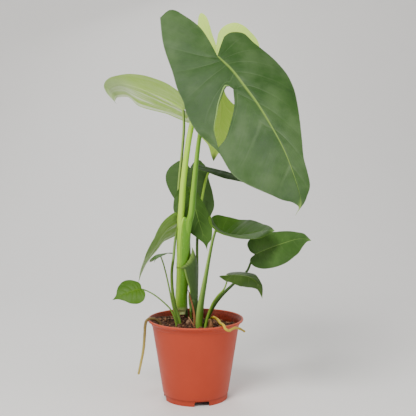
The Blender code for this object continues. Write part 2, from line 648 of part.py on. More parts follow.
                    (0.40, 0.72), (0.16, 0.84), (0.00, 1.00)],
         colour=BRIGHT_GREEN, rows=10,
         foot=(-0.0330, -0.0150),
         route=[(-0.0425, -0.0140, 0.1575), (-0.053, -0.012, 0.169), (-0.073, -0.010, 0.185),
                (-0.088, -0.006, 0.192)],
         radii=(0.0024, 0.0014, 0.0011)),
    Leaf("right_high",
         midrib=[(0.025, 0.058, 0.4055), (0.053, 0.056, 0.3990), (0.090, 0.052, 0.3860),
                 (0.114, 0.050, 0.3720)],
         up=(0.0, -0.15, 1.0), right=0.034, left=0.034, lobe_right=0.035, lobe_left=0.035,
         colour=DARK_GREEN,
         foot=(0.000, 0.048),
         route=[(0.002, 0.056, 0.220), (0.002, 0.064, 0.275), (0.006, 0.073, 0.321),
                (0.012, 0.076, 0.358), (0.018, 0.070, 0.386)],
         radii=(0.0028, 0.0026, 0.0022), stalk_colour=DARK_STALK),
    Leaf("right_heart",
         midrib=[(0.101, -0.055, 0.262), (0.120, -0.074, 0.273), (0.1415, -0.097, 0.2845),
                 (0.162, -0.120, 0.294), (0.1745, -0.135, 0.2965), (0.183, -0.143, 0.2945)],
         up=(-0.25, -0.85, 0.45), right=0.036, left=0.036, lobe_right=0.014, lobe_left=0.014,
         half_right=[(0.00, 0.00), (0.10, -0.62), (0.23, -0.78), (0.45, -0.52), (0.66, 0.01),
                     (0.85, 0.12), (0.96, 0.26), (0.99, 0.39), (0.95, 0.53), (0.85, 0.68),
                     (0.68, 0.85), (0.38, 0.92), (0.09, 0.96), (0.00, 1.00)],
         half_left=[(0.00, 0.00), (0.18, -0.56), (0.42, -0.94), (0.65, -1.14), (0.84, -0.85),
                    (0.94, 0.01), (0.88, 0.20), (0.70, 0.39), (0.48, 0.64), (0.35, 0.75),
                    (0.23, 0.87), (0.09, 0.94), (0.00, 1.00)],
         colour=LEAF_GREEN,
         foot=(0.0165, -0.004),
         route=[(0.031, -0.010, 0.164), (0.047, -0.020, 0.187), (0.065, -0.028, 0.206),
                (0.089, -0.037, 0.231), (0.096, -0.042, 0.248)],
         radii=(0.0044, 0.0036, 0.0022, 0.0018), stalk_colour=DARK_STALK),
    Leaf("right_drooping",
         midrib=[(0.056, -0.062, 0.2275), (0.075, -0.072, 0.2295), (0.092, -0.082, 0.227),
                 (0.104, -0.090, 0.217), (0.111, -0.094, 0.194)],
         up=(0.0, -0.3, 0.95), right=0.026, left=0.026, lobe_right=0.016, lobe_left=0.012,
         half_right=[(0.00, 0.00), (0.03, -0.55), (0.05, -1.05), (0.22, -0.69), (0.44, -0.15),
                     (0.67, 0.13), (0.81, 0.24), (0.87, 0.40), (0.72, 0.62), (0.38, 0.75),
                     (0.18, 0.80), (0.08, 0.89), (0.00, 1.00)],
         half_left=[(0.00, 0.00), (0.25, -0.55), (0.60, -0.9), (1.00, -0.6), (1.18, -0.2),
                    (1.25, 0.05), (1.20, 0.20), (0.88, 0.43), (0.67, 0.53), (0.46, 0.65),
                    (0.33, 0.76), (0.16, 0.88), (0.00, 1.00)],
         colour=BRIGHT_GREEN, rows=10, fold_right=(-22, -20), fold_left=(-8, -8), curl_right=10,
         curl_left=10,
         foot=(0.0175, -0.020),
         route=[(0.028, -0.030, 0.169), (0.038, -0.042, 0.188), (0.049, -0.052, 0.202),
                (0.053, -0.058, 0.213)],
         radii=(0.0028, 0.0018, 0.0013), clearance=0.0009),
]

# The main stem's sections: height, centre and the two half widths
STEM_SECTIONS = [
    (SOIL_LEVEL - STEM_DEPTH, -0.0245, 0.034, 0.0050, 0.0050),
    (0.1470, -0.0245, 0.034, 0.0050, 0.0050),
    (0.1500, -0.0260, 0.034, 0.0082, 0.0080),
    (0.1560, -0.0268, 0.034, 0.0102, 0.0100),
    (0.1670, -0.0270, 0.034, 0.0110, 0.0108),
    (0.1900, -0.0257, 0.033, 0.0112, 0.0110),
    (0.2240, -0.0242, 0.032, 0.0115, 0.0112),
    (0.2275, -0.0240, 0.032, 0.0123, 0.0120),
    (0.2310, -0.0240, 0.032, 0.0116, 0.0113),
    (0.2550, -0.0230, 0.031, 0.0117, 0.0113),
    (0.2780, -0.0220, 0.030, 0.0122, 0.0110),
    (0.2970, -0.0210, 0.029, 0.0136, 0.0095),
    (0.3110, -0.0200, 0.028, 0.0155, 0.0078),
]

# The sheath's rows: height, centre, half widths and how far round its two sides reach
SHEATH_ROWS = [
    (SOIL_LEVEL - STEM_DEPTH, -0.0010, 0.010, 0.0035, 0.0035, 150),
    (0.1300, -0.0010, 0.010, 0.0035, 0.0035, 150),
    (0.1500, -0.0040, 0.014, 0.0080, 0.0065, 145),
    (0.1750, -0.0062, 0.021, 0.0100, 0.0092, 135),
    (0.1900, -0.0082, 0.026, 0.0117, 0.0120, 105),
    (0.2080, -0.0115, 0.031, 0.0145, 0.0160, 110),
    (0.2260, -0.0130, 0.033, 0.0160, 0.0172, 120),
]
SHEATH_TIP = 0.262
SHEATH_LEAN = -0.0095
SHEATH_THICKNESS = 0.001
SHEATH_COLUMNS = 12


def make_main_stem():
    """A loft through the stem's elliptical sections, closed by a flat face at each end."""
    form = bmesh.new()
    rings = []
    for height, x, y, wide, deep in STEM_SECTIONS:
        rings.append([form.verts.new((x + wide * math.cos(turn), y + deep * math.sin(turn), height))
                      for turn in np.linspace(0, math.tau, STEM_SIDES, endpoint=False)])
    for low, high in zip(rings, rings[1:]):
        for i in range(STEM_SIDES):
            j = (i + 1) % STEM_SIDES
            form.faces.new((low[i], low[j], high[j], high[i]))
    form.faces.new(rings[-1])
    form.faces.new(list(reversed(rings[0])))
    bmesh.ops.triangulate(form, faces=form.faces)
    place("main_stem", mesh_of("main_stem", form), PALE_STALK, 0.4)
    return {"main_stem": (*STEM_FOOT, 0.005)}


def make_sheath():
    """The scoop at the main stem's right, open to the left, which rises to a point."""
    form = bmesh.new()
    rows = len(SHEATH_ROWS) + 2
    bmesh.ops.create_grid(form, x_segments=SHEATH_COLUMNS, y_segments=rows - 1, size=1.0)
    top = SHEATH_ROWS[-1]
    for vert in form.verts:
        row = round((vert.co.y + 1) / 2 * (rows - 1))
        height, x, y, wide, deep, reach = SHEATH_ROWS[min(row, len(SHEATH_ROWS) - 1)]
        if row >= len(SHEATH_ROWS):
            climb = (row - len(SHEATH_ROWS) + 1) / 2
            height += (SHEATH_TIP - top[0]) * climb * (1 - abs(vert.co.x)) ** 1.5
            height += 0.002 * climb
            x += SHEATH_LEAN * climb ** 2
        turn = math.radians(reach) * vert.co.x
        vert.co = (x + wide * math.cos(turn), y + deep * math.sin(turn), height)
    bmesh.ops.triangulate(form, faces=form.faces)
    sheath = place("sheath", mesh_of("sheath", form), SHEATH_GREEN, 0.5)
    shell = sheath.modifiers.new("thickness", "SOLIDIFY")
    shell.thickness = SHEATH_THICKNESS
    shell.offset = -1.0
    return {"sheath": (SHEATH_ROWS[0][1], SHEATH_ROWS[0][2], SHEATH_ROWS[0][3])}


def make_dried_strip():
    """A curled dry strip of old sheath, standing in the soil in front of the sheath."""
    path = smooth_path([(-0.002, -0.003, 0.118), (-0.002, -0.002, 0.140), (-0.0045, 0.003, 0.158),
                        (-0.009, 0.005, 0.175), (-0.0135, 0.006, 0.191)], 9)
    form = bmesh.new()
    bmesh.ops.create_grid(form, x_segments=2, y_segments=len(path) - 1, size=1.0)
    for vert in form.verts:
        share = (vert.co.y + 1) / 2
        spot = path[round(share * (len(path) - 1))]
        out = vert.co.x * STRIP_WIDTH / 2 * (1 - 0.7 * share ** 3)
        vert.co = (spot[0] + out, spot[1] + 0.4 * abs(out), spot[2])
    bmesh.ops.triangulate(form, faces=form.faces)
    strip = place("dried_strip", mesh_of("dried_strip", form), DRIED_BROWN, 0.7)
    shell = strip.modifiers.new("thickness", "SOLIDIFY")
    shell.thickness = STRIP_THICKNESS
    shell.offset = 0.0
    return {"dried_strip": (-0.002, -0.003, STRIP_WIDTH / 2 + 0.0005)}


def make_roots():
    """Two aerial roots that hang over the rim, a short dead root and a dry stump."""
    holes = {}
    holes.update(rooted(
        "aerial_root_left", (-0.062, -0.020),
        [(-0.0665, -0.022, 0.1415), (-0.0715, -0.025, 0.1450), (-0.0775, -0.0285, 0.1464),
         (-0.0820, -0.0312, 0.1458), (-0.0852, -0.0325, 0.1420), (-0.0868, -0.033, 0.1340),
         (-0.0880, -0.033, 0.1180), (-0.0900, -0.033, 0.0937), (-0.0942, -0.034, 0.0714),
         (-0.0986, -0.035, 0.0509)],
        (0.0026, 0.0026, 0.0024, 0.0020), ROOT_BROWN, 26))
    holes.update(rooted(
        "aerial_root_right", (0.0245, 0.0045),
        [(0.0257, 0.003, 0.1390), (0.0324, -0.005, 0.1437), (0.0392, -0.015, 0.1416),
         (0.0427, -0.035, 0.1405), (0.0447, -0.055, 0.1425), (0.0465, -0.068, 0.1454),
         (0.0485, -0.0735, 0.1442), (0.0516, -0.0760, 0.1390), (0.0574, -0.0740, 0.1362),
         (0.0620, -0.0700, 0.1376), (0.0674, -0.0640, 0.1384), (0.0752, -0.0560, 0.1355),
         (0.0808, -0.0500, 0.1313), (0.0847, -0.0460, 0.1280)],
        (0.0022, 0.0023, 0.0023, 0.0018), ROOT_BROWN, 30))
    holes.update(rooted(
        "short_root", (-0.002, -0.022), [(-0.007, -0.020, 0.139), (-0.0122, -0.018, 0.1470)],
        (0.0013, 0.0012, 0.0009), DRIED_BROWN, 7))
    holes.update(rooted(
        "dry_stump", (0.0262, -0.0150), [(0.0258, -0.0146, 0.1350), (0.0252, -0.0138, 0.1420)],
        (0.0054, 0.0052, 0.0046, 0.0024), DRIED_BROWN, 5))
    return holes


def main():
    clear_scene()
    collection(PLANT)
    collection(CUTTERS, hidden=True)
    make_pot()
    holes = make_main_stem()
    holes.update(make_sheath())
    holes.update(make_dried_strip())
    for leaf in LEAVES:
        bend = Bend(leaf)
        make_blade(leaf, bend)
        holes.update(make_stalk(leaf, bend))
    holes.update(make_roots())
    make_soil(holes)


if __name__ == "__main__":
    main()
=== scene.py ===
"""The looks of a potted monstera: leaves, stalks, stem, roots, peat and a nursery pot.

Metres, +Z up. The plant's front is -Y, and every piece rides on the one body, root.
"""

import logging
import math
from dataclasses import dataclass, field
from enum import Enum
from typing import Callable, Optional

import bmesh
import bpy
import numpy as np
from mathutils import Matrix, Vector, noise


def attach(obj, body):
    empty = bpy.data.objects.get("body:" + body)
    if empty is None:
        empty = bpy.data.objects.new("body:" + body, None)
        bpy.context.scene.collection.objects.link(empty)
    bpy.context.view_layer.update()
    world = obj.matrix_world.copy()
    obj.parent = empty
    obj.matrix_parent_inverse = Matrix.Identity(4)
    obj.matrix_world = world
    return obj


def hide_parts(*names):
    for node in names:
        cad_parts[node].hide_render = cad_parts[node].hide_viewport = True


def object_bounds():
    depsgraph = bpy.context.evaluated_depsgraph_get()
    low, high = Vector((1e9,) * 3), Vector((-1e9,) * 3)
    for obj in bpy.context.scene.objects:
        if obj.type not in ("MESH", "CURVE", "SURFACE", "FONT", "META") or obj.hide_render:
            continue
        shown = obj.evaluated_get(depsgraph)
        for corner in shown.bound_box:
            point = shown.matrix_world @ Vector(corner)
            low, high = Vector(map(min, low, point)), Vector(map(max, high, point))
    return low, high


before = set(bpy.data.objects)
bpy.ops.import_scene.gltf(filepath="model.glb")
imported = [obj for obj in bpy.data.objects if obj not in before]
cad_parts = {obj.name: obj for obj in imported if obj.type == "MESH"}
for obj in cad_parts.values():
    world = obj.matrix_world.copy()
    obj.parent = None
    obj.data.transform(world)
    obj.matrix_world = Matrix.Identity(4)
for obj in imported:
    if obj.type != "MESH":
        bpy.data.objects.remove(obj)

BODY = "root"
CAD_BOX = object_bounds()
UV_LAYER = "UVMap"
UNDER = "under"
TONE = "tone"

BEND_POINTS = 60
BLADE_COLUMNS = 28
MIDRIB_CROWD = 1.35
VEIN_SPREAD = 0.1
VEIN_BOW = 1.3
HOLE_REACH = 5
EDGE = 1e-6
MERGE = 0.00002
GROOVE = 0.0004
DENTS = 18.0
MIDRIB_WIDTH = 0.0022
SIDE_RIB = 0.15
RIB_THICKNESS = 0.0022
BLADE_THICKNESS = 0.00045

GAP = 0.0003
POT_HEIGHT = 0.142
POT_TOP = 0.0771
POT_FOOT = 0.0583
RIM_RADIUS = 0.085
LIP_INNER = 0.0822
LIP_DEPTH = 0.004
COLLAR_FOOT = 0.130
COLLAR_TOP = 0.1355
COLLAR_RADIUS = 0.0793
COLLAR_STEP = 0.0008
WALL = 0.0015
FOOT_RADIUS = 0.0568
FOOT_WALL = 0.0022
BASE_HEIGHT = 0.0105

# How much faster than the tapered wall the pot's radius grows above each of two heights.
WALL_FLARES = ((COLLAR_FOOT, 0.27), (COLLAR_TOP, 0.35))

SOIL_LEVEL = 0.1275
SOIL_TILT = (-0.055, -0.03)
SOIL_RELIEF = 0.0014
STEM_FOOT = (-0.0245, 0.034)
SOIL_MOUNDS = ((STEM_FOOT, 0.0075, 0.016), ((-0.062, 0.020), 0.0060, 0.035),
               ((0.064, 0.004), 0.0075, 0.020))
CLOD = 0.0011
CRUMB = 0.0007
FOOT_DEPTH = 0.020
FORK_DEPTH = 0.042
PLUMB = 0.002
SEAT = 0.0002
TUCK = 0.006
FRONT_TURN = 1.5 * math.pi
BACK_TURN = 0.5 * math.pi

Point = tuple[float, float, float]
Colour = tuple[float, float, float]
Pair = tuple[float, float]

log = logging.getLogger("monstera")


def srgb(red: int, green: int, blue: int) -> Colour:
    """Turns a screen colour into the linear one that a shader takes.

    Args:
        red: The red part, from 0 to 255.
        green: The green part, from 0 to 255.
        blue: The blue part, from 0 to 255.

    Returns:
        The linear colour, each part from 0 to 1.
    """
    parts = (part / 255 for part in (red, green, blue))
    return tuple(part / 12.92 if part <= 0.04045 else ((part + 0.055) / 1.055) ** 2.4
                 for part in parts)


def path_at(points: list, shares: np.ndarray) -> np.ndarray:
    """Points on the smooth curve through the given ones, at these shares of its length.

    Args:
        points: The points that the curve passes through.
        shares: Where to read it, from 0 at its start to 1 at its end.

    Returns:
        One row for each share.
    """
    knots = np.array(points, float)
    steps = np.sqrt(np.linalg.norm(np.diff(knots, axis=0), axis=1))
    ends = np.concatenate([[0.0], np.cumsum(steps)])
    padded = np.vstack([2 * knots[0] - knots[1], knots, 2 * knots[-1] - knots[-2]])
    times = np.concatenate([[ends[0] - steps[0]], ends, [ends[-1] + steps[-1]]])
    fine = []
    for i in range(len(knots) - 1):
        p, t = padded[i:i + 4], times[i:i + 4]
        for x in np.linspace(t[1], t[2], 16, endpoint=i == len(knots) - 2):
            a = [(t[k + 1] - x) / (t[k + 1] - t[k]) * p[k]
                 + (x - t[k]) / (t[k + 1] - t[k]) * p[k + 1] for k in range(3)]
            b = [(t[k + 2] - x) / (t[k + 2] - t[k]) * a[k]
                 + (x - t[k]) / (t[k + 2] - t[k]) * a[k + 1] for k in range(2)]
            fine.append((t[2] - x) / (t[2] - t[1]) * b[0] + (x - t[1]) / (t[2] - t[1]) * b[1])
    fine = np.array(fine)
    along = np.concatenate([[0.0], np.cumsum(np.linalg.norm(np.diff(fine, axis=0), axis=1))])
    wanted = np.asarray(shares) * along[-1]
    return np.stack([np.interp(wanted, along, fine[:, k]) for k in range(fine.shape[1])], axis=1)


def smoothstep(low: float, high: float, value: np.ndarray) -> np.ndarray:
    """Eases from 0 at the low value to 1 at the high one."""
    share = np.clip((value - low) / (high - low), 0.0, 1.0)
    return share * share * (3 - 2 * share)


def roughen(points: np.ndarray, scale: float, octaves: int = 3) -> np.ndarray:
    """Smooth noise from about -1 to 1 at each point.

    Args:
        points: One point in each row, in metres.
        scale: How many bumps there are in a metre.
        octaves: How many times the noise is laid over itself, each time finer.

    Returns:
        One value for each row.
    """
    return np.array([noise.fractal(Vector(spot) * scale, 1.0, 2.0, octaves) for spot in points])


def deselect() -> None:
    """Leaves nothing selected, so that the next operator acts on its own piece alone."""
    bpy.ops.object.select_all(action="DESELECT")


def formed_grid(name: str, columns: int, rows: int,
                place: Callable[[np.ndarray, np.ndarray], np.ndarray],
                chart: Optional[Callable[[np.ndarray, np.ndarray], tuple]] = None
                ) -> bpy.types.Object:
    """Adds a grid and moves its points to the places that a form gives them.

    Args:
        name: The piece's name.
        columns: Faces across.
        rows: Faces along.
        place: Gives each point's place from its column and row numbers.
        chart: Gives each point's place on the UV map from the same numbers. Without it the
            map runs evenly from 0 to 1 both ways.

    Returns:
        The new object, which is also the active one.
    """
    deselect()
    bpy.ops.mesh.primitive_grid_add(x_subdivisions=columns, y_subdivisions=rows, size=1.0)
    thing = bpy.context.object
    thing.name = thing.data.name = name
    data = thing.data
    flat = np.empty(len(data.vertices) * 3)
    data.vertices.foreach_get("co", flat)
    flat = flat.reshape(-1, 3) + 0.5
    column = np.rint(flat[:, 0] * columns).astype(int)
    row = np.rint(flat[:, 1] * rows).astype(int)
    across, along = chart(column, row) if chart else (column / columns, row / rows)
    corner = np.empty(len(data.loops), int)
    data.loops.foreach_get("vertex_index", corner)
    layer = data.uv_layers[0]
    layer.name = UV_LAYER
    layer.data.foreach_set("uv", np.stack([across[corner], along[corner]], axis=1).ravel())
    data.vertices.foreach_set("co", place(column, row).ravel())
    data.update()
    return thing


def weld(thing: bpy.types.Object, distance: float = 0.00001) -> None:
    """Merges the points of a piece that lie together and turns its faces outward."""
    bpy.context.view_layer.objects.active = thing
    thing.select_set(True)
    bpy.ops.object.mode_set(mode="EDIT")
    bpy.ops.mesh.select_all(action="SELECT")
    bpy.ops.mesh.remove_doubles(threshold=distance)
    bpy.ops.mesh.normals_make_consistent(inside=False)
    bpy.ops.object.mode_set(mode="OBJECT")


def tuck(thing: bpy.types.Object) -> None:
    """Draws a piece's farthest few millimetres in where they pass the CAD model's box."""
    spots = np.empty(len(thing.data.vertices) * 3)
    thing.data.vertices.foreach_get("co", spots)
    spots = spots.reshape(-1, 3)
    for axis in range(3):
        for sign, limit in ((-1.0, CAD_BOX[0][axis]), (1.0, CAD_BOX[1][axis])):
            past = sign * (spots[:, axis] - limit) + TUCK
            if past.max() > TUCK - SEAT:
                drawn = past * (TUCK - SEAT) / past.max()
                spots[:, axis] -= sign * np.where(past > 0.0, past - drawn, 0.0)
    thing.data.vertices.foreach_set("co", spots.ravel())
    thing.data.update()


def smooth(thing: bpy.types.Object, degrees: float = 50.0) -> None:
    """Shades a piece smooth, apart from edges that turn by more than these degrees."""
    deselect()
    bpy.context.view_layer.objects.active = thing
    thing.select_set(True)
    bpy.ops.object.shade_smooth_by_angle(angle=math.radians(degrees))


def apply_all(thing: bpy.types.Object) -> None:
    """Applies the piece's modifiers in their order."""
    deselect()
    bpy.context.view_layer.objects.active = thing
    thing.select_set(True)
    for name in [modifier.name for modifier in thing.modifiers]:
        bpy.ops.object.modifier_apply(modifier=name)


def mark_points(thing: bpy.types.Object, name: str, values: np.ndarray) -> None:
    """Keeps one number for each of a piece's points, which its material reads by this name."""
    layer = thing.data.attributes.new(name, "FLOAT", "POINT")
    layer.data.foreach_set("value", np.asarray(values, float))


def settle(thing: bpy.types.Object, material: bpy.types.Material, slot: str,
           *nodes: str) -> bpy.types.Object:
    """Dresses a finished piece, lets it ride on the body and stand for its solids.

    Args:
        thing: The piece.
        material: What it is dressed in.
        slot: The record's material slot; not used.
        *nodes: The solids that it stands for.

    Returns:
        The same piece.
    """
    thing.data.materials.clear()
    thing.data.materials.append(material)
    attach(thing, BODY)
    for node in nodes:
        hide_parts(node)
    log.info("%s: %d faces", thing.name, len(thing.data.polygons))
    return thing


class Graph:
    """A material's nodes, with short calls for those that the finishes share."""

    def __init__(self, name: str) -> None:
        """Starts a material of this name with its shader."""
        self.material = bpy.data.materials.new(name)
        self.material.use_nodes = True
        self.tree = self.material.node_tree
        self.shader = self.tree.nodes["Principled BSDF"]

    def set(self, **values: object) -> None:
        """Sets the shader's own sockets, named with _ for a space."""
        for name, value in values.items():
            self.shader.inputs[name.replace("_", " ")].default_value = value

    def feed(self, target: bpy.types.NodeSocket, value: object) -> None:
        """Links a socket, or sets it to a number or a colour."""
        if isinstance(value, bpy.types.NodeSocket):
            self.tree.links.new(value, target)
        elif isinstance(value, tuple) and target.type == "RGBA":
            target.default_value = (*value, 1.0)
        else:
            target.default_value = value

    def math(self, operation: str, first: object, second: object = 0.5,
             clamp: bool = False) -> bpy.types.NodeSocket:
        """A sum, product or other operation on two values."""
        node = self.tree.nodes.new("ShaderNodeMath")
        node.operation, node.use_clamp = operation, clamp
        self.feed(node.inputs[0], first)
        self.feed(node.inputs[1], second)
        return node.outputs[0]

    def step(self, value: object, low: float, high: float, start: float = 0.0,
             end: float = 1.0) -> bpy.types.NodeSocket:
        """Eases from start to end as the value goes from low to high."""
        node = self.tree.nodes.new("ShaderNodeMapRange")
        node.interpolation_type = "SMOOTHSTEP"
        for socket, number in zip(node.inputs, (value, low, high, start, end)):
            self.feed(socket, number)
        return node.outputs[0]

    def mix(self, share: object, first: object, second: object,
            blend: str = "MIX") -> bpy.types.NodeSocket:
        """Mixes two colours."""
        node = self.tree.nodes.new("ShaderNodeMix")
        node.data_type, node.blend_type = "RGBA", blend
        self.feed(node.inputs["Factor"], share)
        self.feed(node.inputs[6], first)
        self.feed(node.inputs[7], second)
        return node.outputs[2]

    def noise(self, vector: object, scale: float, detail: float = 2.0,
              roughness: float = 0.5) -> bpy.types.NodeSocket:
        """Noise from 0 to 1 at this scale."""
        node = self.tree.nodes.new("ShaderNodeTexNoise")
        self.feed(node.inputs["Vector"], vector)
        node.inputs["Scale"].default_value = scale
        node.inputs["Detail"].default_value = detail
        node.inputs["Roughness"].default_value = roughness
        return node.outputs["Fac"]

    def cells(self, vector: object, scale: float, feature: str = "F1") -> bpy.types.NodeSocket:
        """The distance to the nearest of scattered points."""
        node = self.tree.nodes.new("ShaderNodeTexVoronoi")
        node.feature = feature
        self.feed(node.inputs["Vector"], vector)
        node.inputs["Scale"].default_value = scale
        return node.outputs["Distance"]

    def spot(self) -> bpy.types.NodeSocket:
        """The point's place on the piece, in metres."""
        return self.tree.nodes.new("ShaderNodeTexCoord").outputs["Object"]

    def split(self, vector: bpy.types.NodeSocket) -> tuple:
        """A vector's three parts."""
        node = self.tree.nodes.new("ShaderNodeSeparateXYZ")
        self.feed(node.inputs[0], vector)
        return tuple(node.outputs)

    def join(self, x: object, y: object, z: object = 0.0) -> bpy.types.NodeSocket:
        """A vector of three values."""
        node = self.tree.nodes.new("ShaderNodeCombineXYZ")
        for socket, value in zip(node.inputs, (x, y, z)):
            self.feed(socket, value)
        return node.outputs[0]

    def chart(self) -> tuple:
        """The point's place on the piece's own UV map."""
        node = self.tree.nodes.new("ShaderNodeUVMap")
        node.uv_map = UV_LAYER
        return self.split(node.outputs[0])[:2]

    def mark(self, name: str) -> bpy.types.NodeSocket:
        """The number that the piece's points keep by this name."""
        node = self.tree.nodes.new("ShaderNodeAttribute")
        node.attribute_name = name
        return node.outputs["Fac"]

    def dress(self, colour: object, roughness: object, height: object, depth: float,
              strength: float = 1.0) -> bpy.types.Material:
        """Feeds the shader its colour, its roughness and its relief.

        Args:
            colour: The base colour.
            roughness: The roughness.
            height: The relief, from 0 to 1.
            depth: How deep the relief is, in metres.
            strength: How strongly it turns the surface.

        Returns:
            The finished material.
        """
        bump = self.tree.nodes.new("ShaderNodeBump")
        bump.inputs["Distance"].default_value = depth
        bump.inputs["Strength"].default_value = strength
        self.feed(bump.inputs["Height"], height)
        self.feed(self.shader.inputs["Normal"], bump.outputs[0])
        self.feed(self.shader.inputs["Base Color"], colour)
        self.feed(self.shader.inputs["Roughness"], roughness)
        return self.material


# The colour of the painted sheen on the leaves' undersides.
SHEEN_WHITE = srgb(228, 236, 212)


@dataclass(frozen=True)
class LeafFinish:
    """A blade's colours, gloss and painted sheen.

    Attributes:
        name: The material's name.
        dark: The upper side's darker green.
        light: The upper side's lighter green, in broad patches.
        vein: The side veins on the upper side.
        midrib: The midrib on the upper side.
        under: The underside.
        under_light: The underside's paler streaks.
        veins: How many side veins each half has.
        streak: How strong the fine lines between the veins are.
        sheen_patches: How strong the painted sheen is, in pale greyish patches.
        gloss: The roughness.
        shine: How much light the skin mirrors.
        veining: How clearly the side veins stand out.
        bands: How strong the painted sheen on the underside is, in whitish bands beside the midrib and towards the
            tip.
        tip: The colour of the blade's very tip.
    """

    name: str
    dark: Colour
    light: Colour
    vein: Colour
    midrib: Colour
    under: Colour
    under_light: Colour
    veins: int = 9
    streak: float = 0.5
    sheen_patches: float = 0.3
    gloss: float = 0.42
    shine: float = 0.22
    veining: float = 0.35
    bands: float = 0.0
    tip: Colour = srgb(84, 120, 46)

    def material(self) -> bpy.types.Material:
        """Builds the material, whose veins follow the blade's own UV map."""
        g = Graph(self.name)
        u, v = g.chart()
        out = g.math("MULTIPLY", g.math("ABSOLUTE", g.math("SUBTRACT", u, 0.5)), 2.0)
        spot = g.spot()
        drift = g.math("MULTIPLY", g.math("SUBTRACT", g.noise(spot, 30.0), 0.5), 0.012)
        period = g.math("FRACT", g.math("MULTIPLY", g.math("ADD", v, drift), float(self.veins)))
        near = g.math("MULTIPLY", g.math("ABSOLUTE", g.math("SUBTRACT", period, 0.5)), 2.0)
        fade = g.step(out, 0.15, 1.0, 1.0, 0.12)
        line = g.math("MULTIPLY", g.step(near, 0.86, 1.0), fade)
        rib = g.step(out, 0.006, 0.03, 1.0, 0.0)
        fine = g.noise(g.join(g.math("MULTIPLY", out, 2.5), g.math("MULTIPLY", v, 260.0)), 1.0, 3.0)
        weave = g.noise(g.join(g.math("MULTIPLY", u, 70.0), g.math("MULTIPLY", v, 90.0)), 1.0, 2.0)
        patch = g.step(g.noise(spot, 16.0, 4.0, 0.6), 0.36, 0.66)
        # Painted sheen: pale greyish patches, mixed towards the vein colour.
        painted_sheen = g.math("MULTIPLY", g.step(g.noise(spot, 17.0, 4.0, 0.55), 0.4, 0.68), self.sheen_patches)
        grain = g.step(fine, 0.3, 0.72)
        top = g.mix(patch, self.dark, self.light)
        top = g.mix(g.math("MULTIPLY", grain, self.streak * 0.5), top, self.light)
        top = g.mix(painted_sheen, top, self.vein)
        top = g.mix(g.math("MULTIPLY", line, self.veining), top, self.vein)
        top = g.mix(g.math("MULTIPLY", rib, 0.9), top, self.midrib)
        top = g.mix(g.step(out, 0.98, 1.0, 0.0, 0.4), top, self.vein)
        low = g.mix(g.math("MULTIPLY", grain, 0.6), self.under, self.under_light)
        low = g.mix(g.math("MULTIPLY", line, self.veining), low, self.under_light)
        low = g.mix(rib, low, self.under_light)
        low = g.mix(g.math("MULTIPLY", patch, 0.35), low, self.under)
        # Painted sheen on the underside: whitish bands beside the midrib and towards the tip.
        stripe = g.noise(g.join(g.math("MULTIPLY", u, 13.0), g.math("MULTIPLY", v, 1.6)), 1.0, 4.0)
        stripe = g.math("MULTIPLY", g.step(stripe, 0.42, 0.66), g.step(u, 0.48, 0.53, 0.2, 1.0))
        stripe = g.math("MAXIMUM", stripe, g.step(v, 0.62, 0.95, 0.0, 0.6))
        low = g.mix(g.math("MULTIPLY", stripe, self.bands), low, SHEEN_WHITE)
        colour = g.mix(g.mark(UNDER), top, low)
        colour = g.mix(g.step(v, 0.955, 0.99, 0.0, 0.9), colour, self.tip)
        rough = g.math("ADD", g.step(grain, 0.0, 1.0, self.gloss, self.gloss + 0.10),
                       g.math("MULTIPLY", patch, 0.06))
        height = g.math("ADD", g.math("MULTIPLY", fine, 0.6), g.math("MULTIPLY", weave, 0.25))
        height = g.math("SUBTRACT", height, g.math("MULTIPLY", line, 0.5))
        g.set(Specular_IOR_Level=self.shine, Coat_Weight=0.03, Coat_Roughness=0.3,
              Subsurface_Weight=0.05, Subsurface_Radius=(0.6, 1.0, 0.25), Subsurface_Scale=0.002)
        return g.dress(colour, rough, height, 0.00045, 0.8)


@dataclass(frozen=True)
class StalkFinish:
    """A stalk's colours, with painted light on its left side and painted shade on its right, and from its foot to
    its blade.

    Attributes:
        name: The material's name.
        left: The painted lit side, which faces -X.
        right: The painted shaded side, which faces +X.
        foot: The stretch above the peat.
        line: The fine lengthwise lines.
        gloss: The roughness.
        turn: Where the painted light gives way to the painted shade, from -1 at the left to 1 at the right.
        rise: How much further up the foot's colour reaches, as a share of the length.
    """

    name: str
    left: Colour
    right: Colour
    foot: Colour
    line: Colour
    gloss: float = 0.36
    turn: float = 0.0
    rise: float = 0.0

    def material(self) -> bpy.types.Material:
        """Builds the material, whose lines run along the stalk."""
        g = Graph(self.name)
        u, v = g.chart()
        facing = g.math("COSINE", g.math("MULTIPLY", u, math.tau))
        # Painted light and shade: the left side takes the lit colour and the right side the shaded one.
        side = g.step(facing, self.turn - 0.5, self.turn + 0.5)
        around = g.math("SINE", g.math("MULTIPLY", u, math.tau))
        length = g.math("MULTIPLY", v, 1.6)
        lines = g.noise(g.join(g.math("MULTIPLY", facing, 9.0), g.math("MULTIPLY", around, 9.0),
                               length), 1.0, 4.0, 0.6)
        spot = g.spot()
        fleck = g.step(g.noise(spot, 420.0, 3.0, 0.6), 0.62, 0.74)
        colour = g.mix(side, self.left, self.right)
        colour = g.mix(g.step(v, 0.04 + self.rise, 0.26 + self.rise, 0.92, 0.0), colour, self.foot)
        colour = g.mix(g.step(lines, 0.42, 0.68, 0.0, 0.55), colour, self.line)
        colour = g.mix(g.math("MULTIPLY", fleck, 0.2), colour, self.line)
        rough = g.step(lines, 0.3, 0.7, self.gloss, self.gloss + 0.14)
        g.set(Specular_IOR_Level=0.3, Coat_Weight=0.05, Coat_Roughness=0.3,
              Subsurface_Weight=0.08, Subsurface_Radius=(0.7, 1.0, 0.3), Subsurface_Scale=0.002)
        return g.dress(colour, rough, lines, 0.0004, 0.6)


